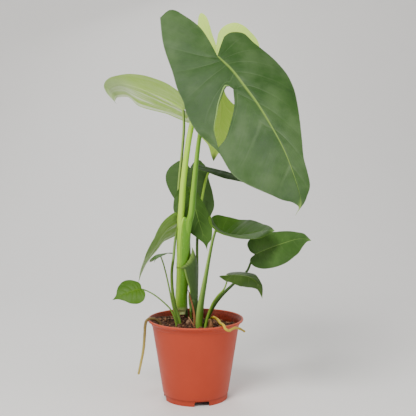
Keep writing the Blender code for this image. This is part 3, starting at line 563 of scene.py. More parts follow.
@dataclass(frozen=True)
class PlasticFinish:
    """The moulded plastic of the pot.

    Attributes:
        name: The material's name.
        body: Its colour.
        scuff_and_lip_highlight: The paler colour of rubbed spots, also laid along the lip as a painted highlight.
        deep: The darker colour of its mottling.
        dust: The peat dust that clings to it.
        shadow: The painted shade on the inner wall above the peat.
    """

    name: str
    body: Colour
    scuff_and_lip_highlight: Colour
    deep: Colour
    dust: Colour
    shadow: Colour

    def material(self) -> bpy.types.Material:
        """Builds the material, with faint moulding lines, scuffs, a little dust, a painted highlight along the lip
        and painted shade on the inner wall.
        """
        g = Graph(self.name)
        spot = g.spot()
        x, y, z = g.split(spot)
        cloud = g.noise(spot, 22.0, 4.0, 0.6)
        grain = g.noise(spot, 900.0, 3.0, 0.6)
        rings = g.noise(g.join(0.0, 0.0, z), 700.0, 2.0)
        scuff = g.noise(g.join(g.math("MULTIPLY", x, 60.0), g.math("MULTIPLY", y, 60.0),
                               g.math("MULTIPLY", z, 900.0)), 1.0, 4.0, 0.7)
        colour = g.mix(g.step(cloud, 0.3, 0.7, 0.0, 0.4), self.body, self.deep)
        colour = g.mix(g.step(scuff, 0.62, 0.8, 0.0, 0.16), colour, self.scuff_and_lip_highlight)
        # Painted highlight: the lip's top few millimetres are lightened.
        colour = g.mix(g.step(z, POT_HEIGHT - LIP_DEPTH, POT_HEIGHT, 0.0, 0.35), colour, self.scuff_and_lip_highlight)
        low = g.step(z, 0.0, 0.02, 0.35, 0.0)
        dusty = g.math("MULTIPLY", g.step(g.noise(spot, 120.0, 5.0, 0.7), 0.56, 0.76), low)
        colour = g.mix(dusty, colour, self.dust)
        around = g.math("SQRT", g.math("ADD", g.math("MULTIPLY", x, x), g.math("MULTIPLY", y, y)))
        wall = g.math("ADD", POT_FOOT - WALL / 2,
                      g.math("MULTIPLY", g.math("SUBTRACT", z, BASE_HEIGHT),
                             (POT_TOP - POT_FOOT) / (COLLAR_FOOT - BASE_HEIGHT)))
        for foot, slope in WALL_FLARES:
            above = g.math("MAXIMUM", g.math("SUBTRACT", z, foot), 0.0)
            wall = g.math("ADD", wall, g.math("MULTIPLY", above, slope))
        # Painted shade: the inner wall above the peat is darkened, more in some spots than in others.
        inside = g.step(g.math("SUBTRACT", around, wall), -0.0004, 0.0004, 1.0, 0.0)
        inner = g.math("MULTIPLY", inside,
                       g.step(g.noise(spot, 260.0, 4.0, 0.7), 0.42, 0.7, 0.62, 0.95))
        colour = g.mix(g.math("MULTIPLY", inner, g.step(z, POT_HEIGHT - 0.0020, POT_HEIGHT - 0.0004,
                                              1.0, 0.0)), colour, self.shadow)
        rough = g.math("ADD", g.step(cloud, 0.3, 0.7, 0.40, 0.48), g.math("MULTIPLY", dusty, 0.4))
        height = g.math("ADD", g.math("MULTIPLY", grain, 0.35), g.math("MULTIPLY", rings, 0.3))
        height = g.math("ADD", height, g.math("MULTIPLY", scuff, 0.35))
        g.set(Specular_IOR_Level=0.25, Subsurface_Weight=0.03,
              Subsurface_Radius=(1.0, 0.3, 0.15), Subsurface_Scale=0.002)
        return g.dress(colour, rough, height, 0.00012, 0.35)


@dataclass(frozen=True)
class PeatFinish:
    """The colours of peat, bark and other crumbs.

    Attributes:
        name: The material's name.
        dark: The darkest crumbs.
        mid: Most of the crumbs.
        pale: The dry fibres and the palest crumbs.
        share: How much of it is pale, from 0 to 1.
    """

    name: str
    dark: Colour
    mid: Colour
    pale: Colour
    share: float = 0.3

    def material(self) -> bpy.types.Material:
        """Builds the material, whose tone also follows the points' own tone."""
        g = Graph(self.name)
        spot = g.spot()
        clod = g.noise(spot, 260.0, 5.0, 0.65)
        fibre = g.noise(g.join(g.mark(TONE), 0.0, 0.0), 9.0, 1.0)
        crumbs = g.cells(spot, 620.0)
        colour = g.mix(g.step(clod, 0.35, 0.65), self.dark, self.mid)
        pale = g.math("MULTIPLY", g.step(g.noise(spot, 540.0, 4.0, 0.7), 0.66 - 0.3 * self.share,
                                         0.84 - 0.3 * self.share), 0.8)
        colour = g.mix(pale, colour, self.pale)
        colour = g.mix(g.step(g.mark(TONE), 0.55, 1.0, 0.0, 0.85), colour, self.pale)
        colour = g.mix(g.step(g.mark(TONE), 0.0, 0.3, 0.7, 0.0), colour, self.dark)
        height = g.math("ADD", clod, g.math("MULTIPLY", crumbs, 0.6))
        height = g.math("ADD", height, g.math("MULTIPLY", fibre, 0.1))
        rough = g.step(clod, 0.3, 0.7, 0.98, 0.82)
        g.set(Specular_IOR_Level=0.3)
        return g.dress(colour, rough, height, 0.0012, 0.9)


@dataclass(frozen=True)
class HuskFinish:
    """Roots, dry husks and the sheath: skins with fibres along them.

    Attributes:
        name: The material's name.
        skin: The skin's colour.
        shade: The darker fibres and blotches.
        tip: The colour near the far end.
        gloss: The roughness.
        fibre: How many fibres there are round the piece.
        tip_from: Where the far end's colour begins, as a share of the length.
        rim: How strongly the far end's colour also lies along both long edges.
    """

    name: str
    skin: Colour
    shade: Colour
    tip: Colour
    gloss: float = 0.55
    fibre: float = 12.0
    tip_from: float = 0.6
    rim: float = 0.0

    def material(self) -> bpy.types.Material:
        """Builds the material, whose fibres run along the piece."""
        g = Graph(self.name)
        u, v = g.chart()
        turn = g.math("MULTIPLY", u, math.tau)
        ring = g.join(g.math("MULTIPLY", g.math("COSINE", turn), self.fibre),
                      g.math("MULTIPLY", g.math("SINE", turn), self.fibre),
                      g.math("MULTIPLY", v, 3.0))
        fibres = g.noise(ring, 1.0, 4.0, 0.65)
        spot = g.spot()
        blotch = g.noise(spot, 190.0, 4.0, 0.6)
        colour = g.mix(g.step(v, self.tip_from, 1.0), self.skin, self.tip)
        colour = g.mix(g.step(fibres, 0.45, 0.7, 0.0, 0.7), colour, self.shade)
        colour = g.mix(g.step(blotch, 0.55, 0.75, 0.0, 0.6), colour, self.shade)
        edge = g.math("ABSOLUTE", g.math("SUBTRACT", u, 0.5))
        colour = g.mix(g.step(edge, 0.43, 0.485, 0.0, self.rim), colour, self.tip)
        rough = g.step(blotch, 0.3, 0.7, self.gloss, self.gloss + 0.15)
        height = g.math("ADD", fibres, g.math("MULTIPLY", blotch, 0.7))
        g.set(Specular_IOR_Level=0.4, Subsurface_Weight=0.05,
              Subsurface_Radius=(1.0, 0.7, 0.3), Subsurface_Scale=0.0015)
        return g.dress(colour, rough, height, 0.0005, 0.8)


@dataclass(frozen=True)
class StemFinish:
    """The thick stem's colours.

    Attributes:
        name: The material's name.
        left: The painted lit side, which faces -X.
        body: Most of the stem.
        shade: The darker lengthwise lines.
        foot: The rounded lower end.
        ring: The scar of an old leaf round the stem.
        ring_height: Where the scar lies.
        foot_height: Where the lower end's colour begins.
    """

    name: str
    left: Colour
    body: Colour
    shade: Colour
    foot: Colour
    ring: Colour
    ring_height: float = 0.2275
    foot_height: float = 0.1525

    def material(self) -> bpy.types.Material:
        """Builds the material, with lengthwise lines, the scar, the lower end and painted light on the left side."""
        g = Graph(self.name)
        u, v = g.chart()
        turn = g.math("MULTIPLY", u, math.tau)
        facing = g.math("COSINE", turn)
        around = g.math("SINE", turn)
        lines = g.noise(g.join(g.math("MULTIPLY", facing, 8.0), g.math("MULTIPLY", around, 8.0),
                               g.math("MULTIPLY", v, 2.5)), 1.0, 4.0, 0.6)
        spot = g.spot()
        z = g.split(spot)[2]
        wobble = g.math("MULTIPLY", g.math("SUBTRACT", g.noise(spot, 90.0), 0.5), 0.003)
        height = g.math("ADD", z, wobble)
        # Painted light: the side that faces -X takes the lit colour.
        colour = g.mix(g.step(facing, -0.75, 0.0), self.left, self.body)
        colour = g.mix(g.step(lines, 0.44, 0.68, 0.0, 0.7), colour, self.shade)
        colour = g.mix(g.step(g.noise(spot, 380.0, 3.0), 0.6, 0.74, 0.0, 0.3), colour, self.foot)
        away = g.math("ABSOLUTE", g.math("SUBTRACT", height, self.ring_height))
        colour = g.mix(g.step(away, 0.0004, 0.0014, 0.75, 0.0), colour, self.ring)
        colour = g.mix(g.step(height, self.foot_height - 0.004, self.foot_height + 0.006, 0.85, 0.0),
                       colour, self.foot)
        g.set(Specular_IOR_Level=0.3, Coat_Weight=0.05, Coat_Roughness=0.3,
              Subsurface_Weight=0.08, Subsurface_Radius=(0.8, 1.0, 0.3), Subsurface_Scale=0.003)
        return g.dress(colour, g.step(lines, 0.3, 0.7, 0.34, 0.5), lines, 0.0005, 0.6)



# Half of a heart-shaped blade: shares of the half width, and of the length beyond the stalk's
# end. Points behind the stalk's end are shares of the lobe's reach.
HEART = [
    (0.00, 0.00), (0.10, -0.62), (0.30, -0.98), (0.58, -0.88), (0.84, -0.36), (0.97, 0.10),
    (1.00, 0.22), (0.95, 0.40), (0.80, 0.60), (0.54, 0.78), (0.24, 0.90), (0.07, 0.955),
    (0.00, 1.00),
]


@dataclass(frozen=True)
class Hole:
    """An opening between two side veins.

    Attributes:
        is_right: Which half it is in.
        row: The first of the two coarse rows beside it.
        column: The coarse column that it starts at.
        rims: Its two rims, from the midrib outwards, in shares of the half width and length.
    """

    is_right: bool
    row: int
    column: int
    rims: tuple


@dataclass
class Leaf:
    """One leaf: its blade, bent along a midrib, and the stalk that carries it.

    Right and left are the leaf's own, seen on its upper side with the tip pointing away.

    Attributes:
        name: The leaf's name.
        midrib: Points along the midrib, from the stalk's end to the tip.
        up: Which way the upper side faces.
        right: The right half's width.
        left: The left half's width.
        lobe_right: How far the right lobe reaches behind the stalk's end.
        lobe_left: How far the left lobe reaches behind it.
        finish: What the blade is dressed in.
        slot: The record's slot for the blade.
        up_tip: Which way the upper side faces at the tip, where the blade twists.
        fold_right: How far the right half rises, at the base and at the tip, in degrees.
        fold_left: The same for the left half.
        curl_right: How far the right half bends back towards its margin, in degrees.
        curl_left: The same for the left half.
        notch_right: How many of the right outline's first points lie along the notch.
        notch_left: The same for the left outline.
        rows: The solid's rows, which the opening is counted in.
        columns: The solid's columns.
        vein: How far the side veins crowd towards the base.
        hole: The opening, where the blade has one.
        pillow: How far the blade bulges between its side veins.
        ripple: How far the margin waves.
        ripples: How many waves the margin has.
        detail: Fine rows along each margin.
        route: The stalk's route, from just above its foot to below the blade.
        radii: The stalk's radii along the route.
        foot: Where the stalk stands in the peat, if it does.
        stalk: What the stalk is dressed in.
        stalk_slot: The record's slot for the stalk.
        half_right: The right half's outline.
        half_left: The left half's outline.
    """

    name: str
    midrib: list
    up: Point
    right: float
    left: float
    lobe_right: float
    lobe_left: float
    finish: LeafFinish
    slot: str
    up_tip: Optional[Point] = None
    fold_right: Pair = (12, 5)
    fold_left: Pair = (12, 5)
    curl_right: float = 30
    curl_left: float = 30
    notch_right: int = 0
    notch_left: int = 0
    rows: int = 12
    columns: int = 6
    vein: float = 2.4
    hole: Optional[Hole] = None
    pillow: float = 0.0006
    ripple: float = 0.0006
    ripples: float = 3.0
    detail: int = 96
    route: list = field(default_factory=list)
    radii: tuple = (0.002, 0.0015)
    foot: Optional[Pair] = None
    stalk: Optional[StalkFinish] = None
    stalk_slot: str = "stalk_green"
    half_right: tuple = tuple(HEART)
    half_left: tuple = tuple(HEART)

    def side(self, is_right: bool) -> tuple:
        """One half's width, lobe, fold, curl, notch and outline."""
        if is_right:
            return (self.right, self.lobe_right, self.fold_right, self.curl_right,
                    self.notch_right, self.half_right)
        return (self.left, self.lobe_left, self.fold_left, self.curl_left,
                self.notch_left, self.half_left)


class Bend:
    """Places a flat blade's points on its midrib curve."""

    def __init__(self, leaf: Leaf) -> None:
        """Measures the leaf's midrib."""
        self.leaf = leaf
        self.path = path_at(leaf.midrib, np.linspace(0.0, 1.0, BEND_POINTS))
        steps = np.linalg.norm(np.diff(self.path, axis=0), axis=1)
        self.stations = np.concatenate([[0.0], np.cumsum(steps)])
        self.length = self.stations[-1]
        self.tangents = np.gradient(self.path, axis=0)

    def frame(self, along: np.ndarray) -> tuple:
        """The midrib's points, directions, right sides and upper sides.

        Args:
            along: Lengths along the midrib; those behind its start count as its start.

        Returns:
            The points, the directions, the right sides, the upper sides and the shares.
        """
        reach = np.clip(along, 0.0, self.length)
        at, direction = (np.stack([np.interp(reach, self.stations, values[:, k])
                                   for k in range(3)], axis=1)
                         for values in (self.path, self.tangents))
        direction /= np.linalg.norm(direction, axis=1, keepdims=True)
        share = (reach / self.length)[:, None]
        up = np.array(self.leaf.up, float)[None, :]
        if self.leaf.up_tip:
            up = (1 - share) * up / np.linalg.norm(up) + share * np.array(self.leaf.up_tip)
        up = up - direction * np.sum(up * direction, axis=1, keepdims=True)
        up /= np.linalg.norm(up, axis=1, keepdims=True)
        return at, direction, np.cross(direction, up), up, share[:, 0]

    def points(self, is_right: bool, out: np.ndarray, along: np.ndarray,
               lift: np.ndarray) -> np.ndarray:
        """The bent places of one half's flat points.

        Args:
            is_right: Which half they are in.
            out: How far out from the midrib each lies.
            along: How far along the midrib each lies.
            lift: How far each is raised above the plain bent blade.

        Returns:
            One point in each row.
        """
        width, _, fold, degrees, _, _ = self.leaf.side(is_right)
        at, direction, right, up, share = self.frame(along)
        curl = math.radians(degrees)
        start = np.radians(fold[0] + (fold[1] - fold[0]) * share)
        turn = curl * out / width
        side = width / curl * (np.sin(start) - np.sin(start - turn))
        rise = width / curl * (np.cos(start - turn) - np.cos(start)) + lift
        behind = np.maximum(-along, 0.0)
        sideways = side if is_right else -side
        return at - direction * behind[:, None] + right * sideways[:, None] + up * rise[:, None]


class Blade:
    """One leaf's blade: a fine grid whose rows are the side veins."""

    def __init__(self, leaf: Leaf) -> None:
        """Settles the grid's rows and columns."""
        self.leaf = leaf
        self.bend = Bend(leaf)
        self.half = leaf.columns // 2
        self.out = self.column_shares()
        self.along, self.rims = self.row_shares()

    def column_shares(self) -> np.ndarray:
        """How far out each fine column lies, as a share of the half: densest at the midrib."""
        columns = np.linspace(0.0, 1.0, BLADE_COLUMNS + 1)
        if not self.leaf.hole:
            return columns ** MIDRIB_CROWD
        first, last = self.hole_shares()
        start, end = np.rint(np.array([first, last]) ** (1 / MIDRIB_CROWD) * BLADE_COLUMNS)
        index = np.arange(BLADE_COLUMNS + 1)
        inner = first * (index / start) ** MIDRIB_CROWD
        outer = np.interp(index, (start, end, BLADE_COLUMNS), (first, last, 1.0))
        return np.where(index <= start, inner, outer)

    def hole_shares(self) -> Pair:
        """How far out the opening starts and ends, as shares of the half."""
        hole = self.leaf.hole
        return hole.column / self.half, (hole.column + len(hole.rims[0]) - 1) / self.half

    def row_shares(self) -> tuple:
        """How far along the margin each fine row lies, and the rows beside the opening."""
        leaf = self.leaf
        if not leaf.hole:
            return np.linspace(0.0, 1.0, leaf.detail + 1), (0, 0)
        low, high = leaf.hole.row / leaf.rows, (leaf.hole.row + 1) / leaf.rows
        first = round(low * leaf.detail)
        last = max(first + 2, round(high * leaf.detail))
        index = np.arange(leaf.detail + 1)
        return np.interp(index, (0, first, last, leaf.detail), (0.0, low, high, 1.0)), (first, last)

    def flat(self, is_right: bool) -> np.ndarray:
        """One half's flat points, by row and column, as distances out and along."""
        leaf = self.leaf
        width, lobe, _, _, notch, half = leaf.side(is_right)
        corners = [(across * width, along * (lobe if along < 0 else self.bend.length))
                   for across, along in half]
        edge = path_at(corners[notch:], self.along)
        stations = edge[-1][1] * (VEIN_SPREAD * self.along
                                  + (1 - VEIN_SPREAD) * self.along ** leaf.vein)
        across = edge[:, :1] * self.out
        along = stations[:, None] + (edge[:, 1:] - stations[:, None]) * self.out ** VEIN_BOW
        flat = np.stack([across, along], axis=2)
        if notch:
            keep = np.clip(1.0 - self.along * leaf.rows, 0.0, 1.0)[:, None, None]
            flat = flat + keep * (path_at(corners[:notch + 1], self.out) - flat[0])
        if leaf.hole and leaf.hole.is_right == is_right:
            self.open_hole(flat, width)
        return flat

    def open_hole(self, flat: np.ndarray, width: float) -> None:
        """Moves the rows beside the opening to its rims, and eases the others towards them."""
        hole = self.leaf.hole
        first, last = self.hole_shares()
        low, high = self.along[self.rims[0]], self.along[self.rims[1]]
        share = np.clip((self.out - first) / (last - first), 0.0, 1.0)
        rims = [path_at(rim, share) * (width, self.bend.length) for rim in hole.rims]
        start = np.searchsorted(self.out, first - EDGE)
        end = np.searchsorted(self.out, last - EDGE)
        ease = np.interp(self.out, (0.0, first, last, 1.0), (0.0, 1.0, 1.0, 0.0))
        for row, place in enumerate(self.along):
            across = min(max((place - low) / (high - low), 0.0), 1.0)
            away = max(low - place, place - high, 0.0) * self.leaf.rows / HOLE_REACH
            shift = (1 - across) * rims[0] + across * rims[1] - flat[row]
            shift[:start] = shift[start]
            shift[end:] = shift[end]
            flat[row] += shift * (ease * max(0.0, 1.0 - away))[:, None]

    def lift(self, is_right: bool) -> np.ndarray:
        """How far each fine point is raised: pillows between the veins, waves and dents."""
        leaf = self.leaf
        veins = leaf.finish.veins
        out, along = self.out[None, :], self.along[:, None]
        pillow = np.abs(np.sin(math.pi * veins * along)) ** 0.8 - 0.55
        pillow = pillow * smoothstep(0.0, 0.12, out) * (1 - 0.55 * out) * smoothstep(0.0, 0.1, 1 - along)
        phase = 0.0 if is_right else 0.37
        wave = out ** 3 * np.sin(math.tau * (leaf.ripples * along + phase))
        wave = wave * smoothstep(0.0, 0.15, along) * smoothstep(0.0, 0.2, 1 - along)
        groove = -GROOVE * np.exp(-(out / 0.018) ** 2) * (1 - along)
        return leaf.pillow * pillow + leaf.ripple * wave + groove

    def build(self) -> bpy.types.Object:
        """Builds the blade, with its opening, its ribs below and its two sides marked."""
        leaf, columns, rows = self.leaf, BLADE_COLUMNS, self.leaf.detail
        flats = {side: self.flat(side) for side in (True, False)}
        lifts = {side: self.lift(side) for side in (True, False)}

        def place(column: np.ndarray, row: np.ndarray) -> np.ndarray:
            """Bends each half's points."""
            places = np.empty((len(column), 3))
            for is_right in (True, False):
                chosen = (column > columns) == is_right
                at = row[chosen], np.abs(column[chosen] - columns)
                out, along = flats[is_right][at].T
                places[chosen] = self.bend.points(is_right, out, along, lifts[is_right][at])
            dent = roughen(places, DENTS) * leaf.ripple * 0.8
            return places + np.array(leaf.up)[None, :] * dent[:, None]

        def chart(column: np.ndarray, row: np.ndarray) -> tuple:
            """The real share of the half's width across, and of the margin along."""
            out = self.out[np.abs(column - columns)]
            return 0.5 + 0.5 * np.sign(column - columns) * out, self.along[row]

        blade = formed_grid(f"leaf_{leaf.name}_blade", 2 * columns, rows, place, chart)
        self.thicken(blade, columns, rows)
        return blade

    def thicken(self, blade: bpy.types.Object, columns: int, rows: int) -> None:
        """Opens the hole and gives the blade its thickness, its midrib and its side ribs."""
        leaf = self.leaf
        index = np.arange(len(blade.data.vertices))
        column, row = index % (2 * columns + 1), index // (2 * columns + 1)
        out, along = self.out[np.abs(column - columns)], self.along[row]
        width = np.where(column > columns, leaf.right, leaf.left)
        midrib = np.exp(-(out * width / (MIDRIB_WIDTH * (1.15 - along))) ** 2) * (1.05 - along)
        near = np.abs(np.mod(along * leaf.finish.veins, 1.0) - 0.5) * 2
        side_rib = SIDE_RIB * smoothstep(0.8, 1.0, near) * (1 - out) * (1 - along)
        share = np.clip(midrib + side_rib, 0.0, 1.0)
        ribs = blade.vertex_groups.new(name="ribs")
        for point, weight in zip(index.tolist(), share.tolist()):
            ribs.add([point], weight, "REPLACE")
        blade.vertex_groups.new(name=UNDER)
        if leaf.hole:
            self.cut_hole(blade, columns)
        weld(blade, MERGE)
        shell = blade.modifiers.new("thickness", "SOLIDIFY")
        shell.thickness = RIB_THICKNESS
        shell.thickness_vertex_group = BLADE_THICKNESS / RIB_THICKNESS
        shell.vertex_group = "ribs"
        shell.shell_vertex_group = UNDER
        shell.offset = -1.0
        apply_all(blade)
        group = blade.vertex_groups[UNDER].index
        under = [max((entry.weight for entry in vert.groups if entry.group == group), default=0.0)
                 for vert in blade.data.vertices]
        blade.vertex_groups.clear()
        mark_points(blade, UNDER, np.array(under))
        tuck(blade)
        smooth(blade, 60)

    def cut_hole(self, blade: bpy.types.Object, columns: int) -> None:
        """Deletes the faces between the opening's rims."""
        first, last = self.hole_shares()
        start = np.searchsorted(self.out, first - EDGE)
        end = np.searchsorted(self.out, last - EDGE)
        faces = np.arange(len(blade.data.polygons))
        column, row = faces % (2 * columns), faces // (2 * columns)
        if self.leaf.hole.is_right:
            across = column - columns
        else:
            across = columns - 1 - column
        torn = (across >= start) & (across < end) & (row >= self.rims[0]) & (row < self.rims[1])
        bpy.ops.object.mode_set(mode="EDIT")
        bpy.ops.mesh.select_mode(type="FACE")
        bpy.ops.mesh.select_all(action="DESELECT")
        bpy.ops.object.mode_set(mode="OBJECT")
        blade.data.polygons.foreach_set("select", torn)
        bpy.ops.object.mode_set(mode="EDIT")
        bpy.ops.mesh.delete(type="FACE")
        bpy.ops.mesh.select_mode(type="VERT")
        bpy.ops.object.mode_set(mode="OBJECT")


@dataclass
class Tube:
    """A round stalk or root along a smooth route.

    Attributes:
        name: The piece's name.
        route: Points that the tube's axis passes through.
        radii: Its radii, evenly along the route.
        sides: Faces round it.
        rings: Faces along it.
        knobs: How far its skin swells and shrinks, as a share of the radius.
        knob_scale: How many swellings there are in a metre.
        dome: How far each end bulges, as a share of its radius.
        crease: How deep a lengthwise groove is, as a share of the radius.
        ribs: How many lengthwise ribs it has.
        rib_depth: How deep they are, as a share of the radius.
        sink: How long its first stretch is, which swells to the full radius.
    """

    name: str
    route: list
    radii: tuple
    sides: int = 20
    rings: int = 72
    knobs: float = 0.03
    knob_scale: float = 90.0
    dome: float = 0.0
    crease: float = 0.0
    ribs: int = 0
    rib_depth: float = 0.0
    sink: float = 0.0

    def build(self) -> bpy.types.Object:
        """Sweeps a ring along the route and closes both ends."""
        shares = np.linspace(0.0, 1.0, self.rings - 1)
        spine = path_at(self.route, shares)
        radius = np.interp(shares, np.linspace(0.0, 1.0, len(self.radii)), self.radii)
        soft = np.pad(radius, 4, mode="edge")
        radius = np.convolve(soft, np.ones(9) / 9, mode="valid")
        if self.sink:
            steps = np.linalg.norm(np.diff(spine, axis=0, prepend=spine[:1]), axis=1)
            radius *= 0.5 + 0.5 * smoothstep(0.0, self.sink, np.cumsum(steps))
        heading = np.gradient(spine, axis=0)
        heading /= np.linalg.norm(heading, axis=1, keepdims=True)
        first = spine[0] - heading[0] * radius[0] * self.dome
        last = spine[-1] + heading[-1] * radius[-1] * self.dome
        spine = np.vstack([first, spine, last])
        radius = np.concatenate([[0.0], radius, [0.0]])
        heading = np.vstack([heading[:1], heading, heading[-1:]])
        normals = [np.array((1.0, 0.0, 0.0))]
        for way in heading:
            turned = normals[-1] - way * (normals[-1] @ way)
            normals.append(turned / np.linalg.norm(turned))
        normals = np.array(normals[1:])
        sides = np.cross(heading, normals)

        def place(column: np.ndarray, row: np.ndarray) -> np.ndarray:
            """Places the rings, with the groove and the swellings."""
            turn = column / self.sides * math.tau
            wide = radius[row] * (1.0 - self.crease * np.exp(-((turn - FRONT_TURN) / 0.45) ** 2))
            wide = wide * (1.0 - self.rib_depth * (0.5 - 0.5 * np.cos(self.ribs * turn)))
            ring = (normals[row] * np.cos(turn)[:, None] + sides[row] * np.sin(turn)[:, None])
            plain = spine[row] + ring * wide[:, None]
            swell = 1.0 + self.knobs * roughen(plain, self.knob_scale)
            return spine[row] + ring * (wide * swell)[:, None]

        tube = formed_grid(self.name, self.sides, self.rings, place)
        weld(tube)
        smooth(tube, 60)
        return tube


def soil_height(x: float, y: float) -> float:
    """The peat's surface: a tilt, low waves, and mounds at the main stem and at both sides."""
    level = SOIL_LEVEL + SOIL_TILT[0] * x + SOIL_TILT[1] * y
    waves = math.sin(190 * x + 1.3) * math.cos(170 * y) + 0.7 * math.sin(330 * x - 250 * y)
    mounds = sum(rise * math.exp(-((x - centre[0]) ** 2 + (y - centre[1]) ** 2) / width ** 2)
                 for centre, rise, width in SOIL_MOUNDS)
    return level + SOIL_RELIEF * waves + mounds


def stalk_of(leaf: Leaf) -> bpy.types.Object:
    """Builds a leaf's stalk, from the peat or the main stem to the blade's underside."""
    base, _, _, up, _ = (values[0] for values in Bend(leaf).frame(np.zeros(1)))
    arriving = base - np.array(leaf.route[-1])
    arriving /= np.linalg.norm(arriving)
    lean = math.sqrt(max(0.0, 1.0 - (arriving @ up) ** 2))
    end = tuple(base - up * (leaf.radii[-1] * lean + SEAT))
    if leaf.foot:
        x, y = leaf.foot
        start = [(x, y, SOIL_LEVEL - FOOT_DEPTH), (x, y, soil_height(x, y) + PLUMB)]
    else:
        x, y, z = leaf.route[0]
        start = [(0.5 * x + 0.5 * FORK[0], 0.3 * y + 0.7 * FORK[1], z - FORK_DEPTH), (x, y, z)]
    route = start + list(leaf.route[0 if leaf.foot else 1:]) + [end]
    sink = 0.0 if leaf.foot else FORK_DEPTH
    return Tube(f"leaf_{leaf.name}_stalk", route, leaf.radii, crease=0.1, sink=sink).build()


class Foliage:
    """All the leaves, each a blade on its stalk."""

    def __init__(self, leaves: list) -> None:
        """Keeps the leaves and a place for the materials that they share."""
        self.leaves = leaves
        self.dressed = {}

    def finish(self, look: object) -> bpy.types.Material:
        """The material of this finish, built once."""
        if look.name not in self.dressed:
            self.dressed[look.name] = look.material()
        return self.dressed[look.name]

    def build(self) -> None:
        """Builds and dresses each leaf."""
        for leaf in self.leaves:
            blade = Blade(leaf).build()
            settle(blade, self.finish(leaf.finish), leaf.slot, f"leaf_{leaf.name}")
            settle(stalk_of(leaf), self.finish(leaf.stalk), leaf.stalk_slot, f"stalk_{leaf.name}")


